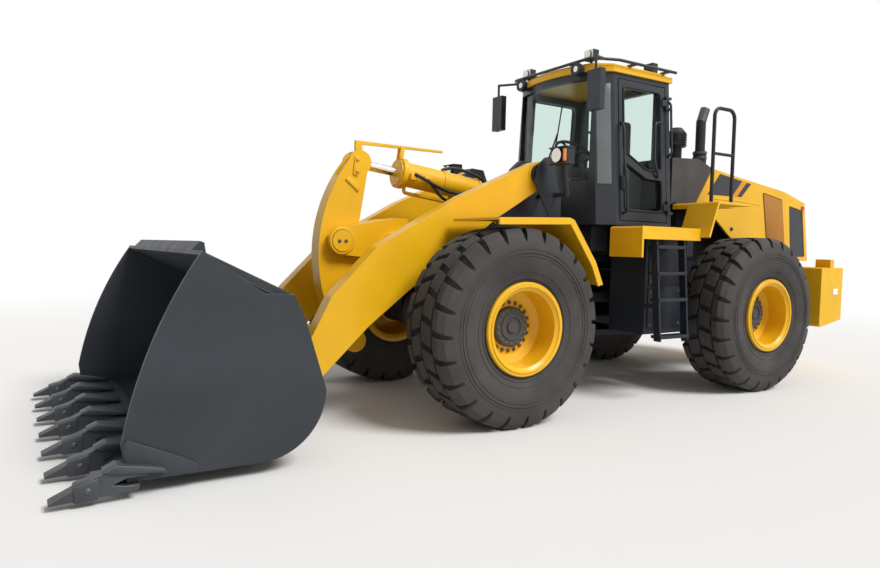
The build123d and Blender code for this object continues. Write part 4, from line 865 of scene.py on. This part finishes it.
wheel_spokes = plates("wheel_spokes", spokes, moulded_black, "rear_body", 0.003)
levers = []
for y in (-0.38, -0.33):
    levers.append(bent_tube(
        f"lever_{len(levers)}", [at(seat_x + 0.26, y, 2.37), at(seat_x + 0.28, y, 2.50)],
        0.012, 0.01, moulded_black, "rear_body",
    ))
for piece in (seat_base, seat_back, headrest, inside, column, steering_wheel, wheel_spokes, *levers):
    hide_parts("cab_interior")

# Roof lamps and mirrors
# Sealed work lamps on the roof's guard rail, round lamps under its brow, mirrors on bent arms in front.
# Black mouldings with clear lenses; the mirror faces are silvered, and the beacon's foot is bare.
dress(moulded_black, "work_lamps")
front_lens, rear_lens = front_x - 1.425, front_x - 2.34
repaint(
    "work_lamps", clear_lens,
    lambda centre, normal: abs(normal.x) > 0.9 and (centre.x > front_lens or centre.x < rear_lens),
)
mirror_glass = enamel(
    "mirror_silver", "chrome_rod", (0.80, 0.82, 0.83), 0.12, metal=1.0, mottle=0.02, rub=0.0, bump=0.0
)
repaint("roof_rail", mirror_glass, lambda centre, normal: normal.x < -0.9 and 2.8 < centre.z < 3.12)
brow_cup = [(-0.10, 0.0), (-0.10, 0.040), (-0.03, 0.062), (0.012, 0.064), (0.012, 0.052), (0.0, 0.0)]
brow_glass = [(-0.002, 0.0), (0.010, 0.0), (0.004, 0.054), (-0.002, 0.054)]
for side_word, hand in sides.items():
    brow_lamp = at(-1.30, hand * 0.43, 3.225)
    turned(f"brow_lamp_{side_word}", [brow_cup], brow_lamp, (1, 0, 0), moulded_black, "rear_body", 40)
    turned(f"brow_lens_{side_word}", [brow_glass], brow_lamp, (1, 0, 0), clear_lens, "rear_body", 40)
beacon_foot = [(-0.01, 0.0), (-0.01, 0.060), (0.012, 0.060), (0.012, 0.0)]
turned("beacon", [beacon_foot], at(-2.10, -0.42, 3.292), (0, 0, 1), moulded_black, "rear_body", 40)

# Cowl with exhaust and air intake
# Bolted sheet box behind the cab; the exhaust and the dust separator of the air intake stand on it.
# The box is warm grey, the stack is heat-proof black and the separator is a ribbed moulding.
stack_black = enamel("heat_proof_black", "black_paint", (0.018, 0.018, 0.02), 0.6, mottle=0.25, rub=0.2)
cowl_grey = enamel("cowl_grey_enamel", "charcoal_paint", (0.060, 0.055, 0.052), 0.42, mottle=0.12, rub=0.2)
dress(cowl_grey, "cowl")
dress(stack_black, "exhaust_stack")
dress(moulded_black, "pre_cleaner")
repaint("exhaust_stack", dark_steel, lambda centre, normal: centre.z > 2.92)
separator = at(-2.96, 0.32, 0)
separator_ribs = []
for k in range(5):
    z = 2.645 + 0.028 * k
    separator_ribs.append([(z, 0.100), (z + 0.003, 0.112), (z + 0.011, 0.112), (z + 0.014, 0.100)])
turned("separator_ribs", separator_ribs, separator, (0, 0, 1), moulded_black, "rear_body", 64)
stack_foot = at(-3.03, 0.585, 0)
turned(
    "exhaust_clamps",
    [[(z, 0.068), (z + 0.002, 0.077), (z + 0.020, 0.077), (z + 0.022, 0.068)] for z in (2.475, 2.530)],
    stack_foot, (0, 0, 1), dark_steel, "rear_body", 48,
)

# Hood
# One-piece tilting hood of moulded panels with a dark corner and a perforated screen at each side.
# The side band is a film: dark, with two slanting stripes; no lettering is carried over.
dark_panel = enamel("dark_hood_panel", "charcoal_paint", (0.030, 0.033, 0.040), 0.42, mottle=0.12, rub=0.12)
dress(loader_yellow, "hood")
dress(dark_panel, "hood_grilles")
# The perforated screens are yellow-painted plate, darkened here to brown as painted shade on the plate and in
# its holes; the forward faces of the grilles take the same brown.
screen_paint_and_shade = enamel(
    "perforated_screen_painted_shade", "yellow_paint", (0.40, 0.165, 0.018), 0.6, mottle=0.10, rub=0.1, bump=0.7, grain=260
)
repaint("hood_grilles", screen_paint_and_shade, lambda centre, normal: centre.x > front_x - 4.585)
hood_half = 0.690
screen = [(-4.075, 2.155), (-4.455, 2.090), (-4.545, 1.560), (-4.185, 1.560)]
plates(
    "hood_screens", [side_plate(screen, hand, hood_half - 0.004, 0.010) for hand in sides.values()],
    screen_paint_and_shade, "hood_body", 0.003,
)
band_parts = {
    "dark": [
        [(-3.05, 2.085), (-3.255, 2.325), (-3.66, 2.272), (-3.49, 2.090)],
        [(-3.575, 2.091), (-3.745, 2.261), (-3.83, 2.251), (-3.66, 2.093)],
    ],
    "orange": [[(-3.49, 2.090), (-3.66, 2.272), (-3.745, 2.261), (-3.575, 2.091)]],
}
stripe_orange = enamel("stripe_orange_film", "yellow_paint", (0.72, 0.27, 0.012), 0.35, mottle=0.05, rub=0.0)
for band, film in (("dark", dark_panel), ("orange", stripe_orange)):
    stripes = []
    for outline in band_parts[band]:
        stripes += [side_plate(outline, hand, hood_half - 0.001, 0.0035) for hand in sides.values()]
    plates(f"hood_band_{band}", stripes, film, "hood_body", 0.0)
side_lamps = []
for hand in sides.values():
    near, far = sorted((hand * (hood_half - 0.006), hand * (hood_half + 0.014)))
    side_lamps.append(brick(at(-4.93, near, 2.00), at(-4.87, far, 2.045)))
plates("hood_side_lamps", side_lamps, red_lens, "hood_body", 0.005)
crease = [(-3.18, 2.045), (-3.60, 2.045), (-4.00, 2.02)]
latches = [(-3.50, 1.72), (-3.90, 1.45), (-4.62, 1.40)]
for side_word, hand in sides.items():
    bent_tube(
        f"hood_crease_{side_word}", [at(x, hand * (hood_half - 0.004), z) for x, z in crease],
        0.010, 0.08, loader_yellow, "hood_body",
    )
    bolt_heads(
        f"hood_latches_{side_word}", [at(x, hand * hood_half, z) for x, z in latches],
        (0, hand, 0), 0.018, moulded_black, "hood_body",
    )

# Counterweight and tail lamps
# A single iron casting bolted to the rear frame, with lamp boxes and reflectors on it.
# Cast skin under thick yellow paint, so it is a little rougher than the sheet parts.
cast_yellow = enamel(
    "cast_yellow_enamel", "yellow_paint", (0.78, 0.44, 0.010), 0.45, mottle=0.1, rub=0.2, bump=0.2, grain=45
)
dress(cast_yellow, "counterweight")
dress(cast_yellow, "tail_lamps")
repaint("tail_lamps", red_lens, lambda centre, normal: normal.x < -0.9)
reflectors = []
for hand in sides.values():
    near, far = sorted((hand * 1.146, hand * 1.158))
    reflectors.append(brick(at(-4.93, near, 0.98), at(-4.83, far, 1.05)))
# The reflectors glow faintly of themselves: a painted highlight, as they are no lamps.
reflector_painted_glow = lens("reflector_painted_glow", "cab_glazing", (0.82, 0.82, 0.80), 0.1, 0.0)
plates("counterweight_reflectors", reflectors, reflector_painted_glow, "rear_body", 0.004)

# Platforms, ladders and rails
# Folded tread plate beside the cab and behind it, pressed fenders, bolted ladders and bent tube rails.
# Platforms and fenders are yellow; ladders, treads and rails are black for grip.
dress(loader_yellow, "platforms")
dress(near_black, "ladders", "handrails")
tread_outlines = []
for hand in sides.values():
    for row in range(9):
        x = -1.50 - 0.088 * row
        near, far = sorted((hand * 0.84, hand * 1.16))
        tread_outlines.append(brick(at(x - 0.030, near, 1.678), at(x, far, 1.686)))
    for row in range(6):
        x = -2.50 - 0.098 * row
        near, far = sorted((hand * 0.76, hand * 0.97))
        tread_outlines.append(brick(at(x - 0.034, near, 1.948), at(x, far, 1.956)))
plates("platform_grip_bars", tread_outlines, near_black, "rear_body", 0.002)

# Studio, camera and light
# A pale floor and a white surround, a broad soft key from the machine's left and an even fill.
# The camera stands where the photographer stood, at the same height and tilt.
world = bpy.data.worlds.new("white_surround")
bpy.context.scene.world = world
world.use_nodes = True
sky_nodes, sky_links = world.node_tree.nodes, world.node_tree.links
sky = sky_nodes["Background"]
sky.inputs["Color"].default_value = (1, 1, 1, 1)
path = sky_nodes.new("ShaderNodeLightPath")
seen = sky_nodes.new("ShaderNodeMath")
seen.operation = "MAXIMUM"
sky_links.new(path.outputs["Is Camera Ray"], seen.inputs[0])
mirrored = sky_nodes.new("ShaderNodeMath")
mirrored.operation = "MAXIMUM"
sky_links.new(path.outputs["Is Glossy Ray"], mirrored.inputs[0])
sky_links.new(path.outputs["Is Transmission Ray"], mirrored.inputs[1])
sky_links.new(mirrored.outputs["Value"], seen.inputs[1])
level = sky_nodes.new("ShaderNodeMapRange")
level.inputs["To Min"].default_value = 0.40
level.inputs["To Max"].default_value = 1.0
sky_links.new(seen.outputs["Value"], level.inputs["Value"])
sky_links.new(level.outputs["Result"], sky.inputs["Strength"])

floor_mesh = bpy.data.meshes.new("floor")
reach = 60.0
floor_corners = [(-reach, -reach, 0), (reach, -reach, 0), (reach, reach, 0), (-reach, reach, 0)]
floor_mesh.from_pydata(floor_corners, [], [(0, 1, 2, 3)])
floor = bpy.data.objects.new("floor", floor_mesh)
bpy.context.scene.collection.objects.link(floor)
floor_paint = bpy.data.materials.new("pale_floor")
floor_paint.use_nodes = True
floor_nodes, floor_links = floor_paint.node_tree.nodes, floor_paint.node_tree.links
slab = floor_nodes["Principled BSDF"]
slab.inputs["Base Color"].default_value = (0.80, 0.79, 0.77, 1)
slab.inputs["Roughness"].default_value = 0.9
away = floor_nodes.new("ShaderNodeVectorMath")
away.operation = "LENGTH"
floor_spot = floor_nodes.new("ShaderNodeTexCoord")
floor_links.new(floor_spot.outputs["Object"], away.inputs[0])
fade = floor_nodes.new("ShaderNodeMapRange")
fade.interpolation_type = "SMOOTHSTEP"
fade.inputs["From Min"].default_value = 6.0
fade.inputs["From Max"].default_value = 16.0
floor_links.new(away.outputs["Value"], fade.inputs["Value"])
white = floor_nodes.new("ShaderNodeEmission")
fading = floor_nodes.new("ShaderNodeMixShader")
floor_links.new(fade.outputs["Result"], fading.inputs["Fac"])
floor_links.new(slab.outputs["BSDF"], fading.inputs[1])
floor_links.new(white.outputs["Emission"], fading.inputs[2])
floor_links.new(fading.outputs["Shader"], floor_nodes["Material Output"].inputs["Surface"])
floor_mesh.materials.append(floor_paint)

key_light = bpy.data.lights.new("key", "SUN")
key_light.energy = 3.0
key_light.angle = math.radians(25)
key = bpy.data.objects.new("key", key_light)
key.rotation_euler = Vector((0.30, -0.62, -0.75)).to_track_quat("-Z", "Y").to_euler()
bpy.context.scene.collection.objects.link(key)

focal_pixels, photo_width, sensor = 683.1701, 880, 36
camera_data = bpy.data.cameras.new("camera")
camera_data.sensor_width = sensor
camera_data.lens = focal_pixels / photo_width * sensor
camera_data.dof.use_dof = False
camera = bpy.data.objects.new("camera", camera_data)
bpy.context.scene.collection.objects.link(camera)
yaw, pitch, roll = -2.13005, -0.05501, 0.02259
ahead = Vector((math.cos(pitch) * math.cos(yaw), math.cos(pitch) * math.sin(yaw), math.sin(pitch)))
level_right = Vector((math.sin(yaw), -math.cos(yaw), 0))
level_up = level_right.cross(ahead)
right = level_right * math.cos(roll) + level_up * math.sin(roll)
up = level_up * math.cos(roll) - level_right * math.sin(roll)
stand = Vector((4.43962, 5.54709, 1.44932))
camera.matrix_world = Matrix([(right[k], up[k], -ahead[k], stand[k]) for k in range(3)] + [(0, 0, 0, 1)])
bpy.context.scene.camera = camera
bpy.context.scene.view_settings.view_transform = "Standard"
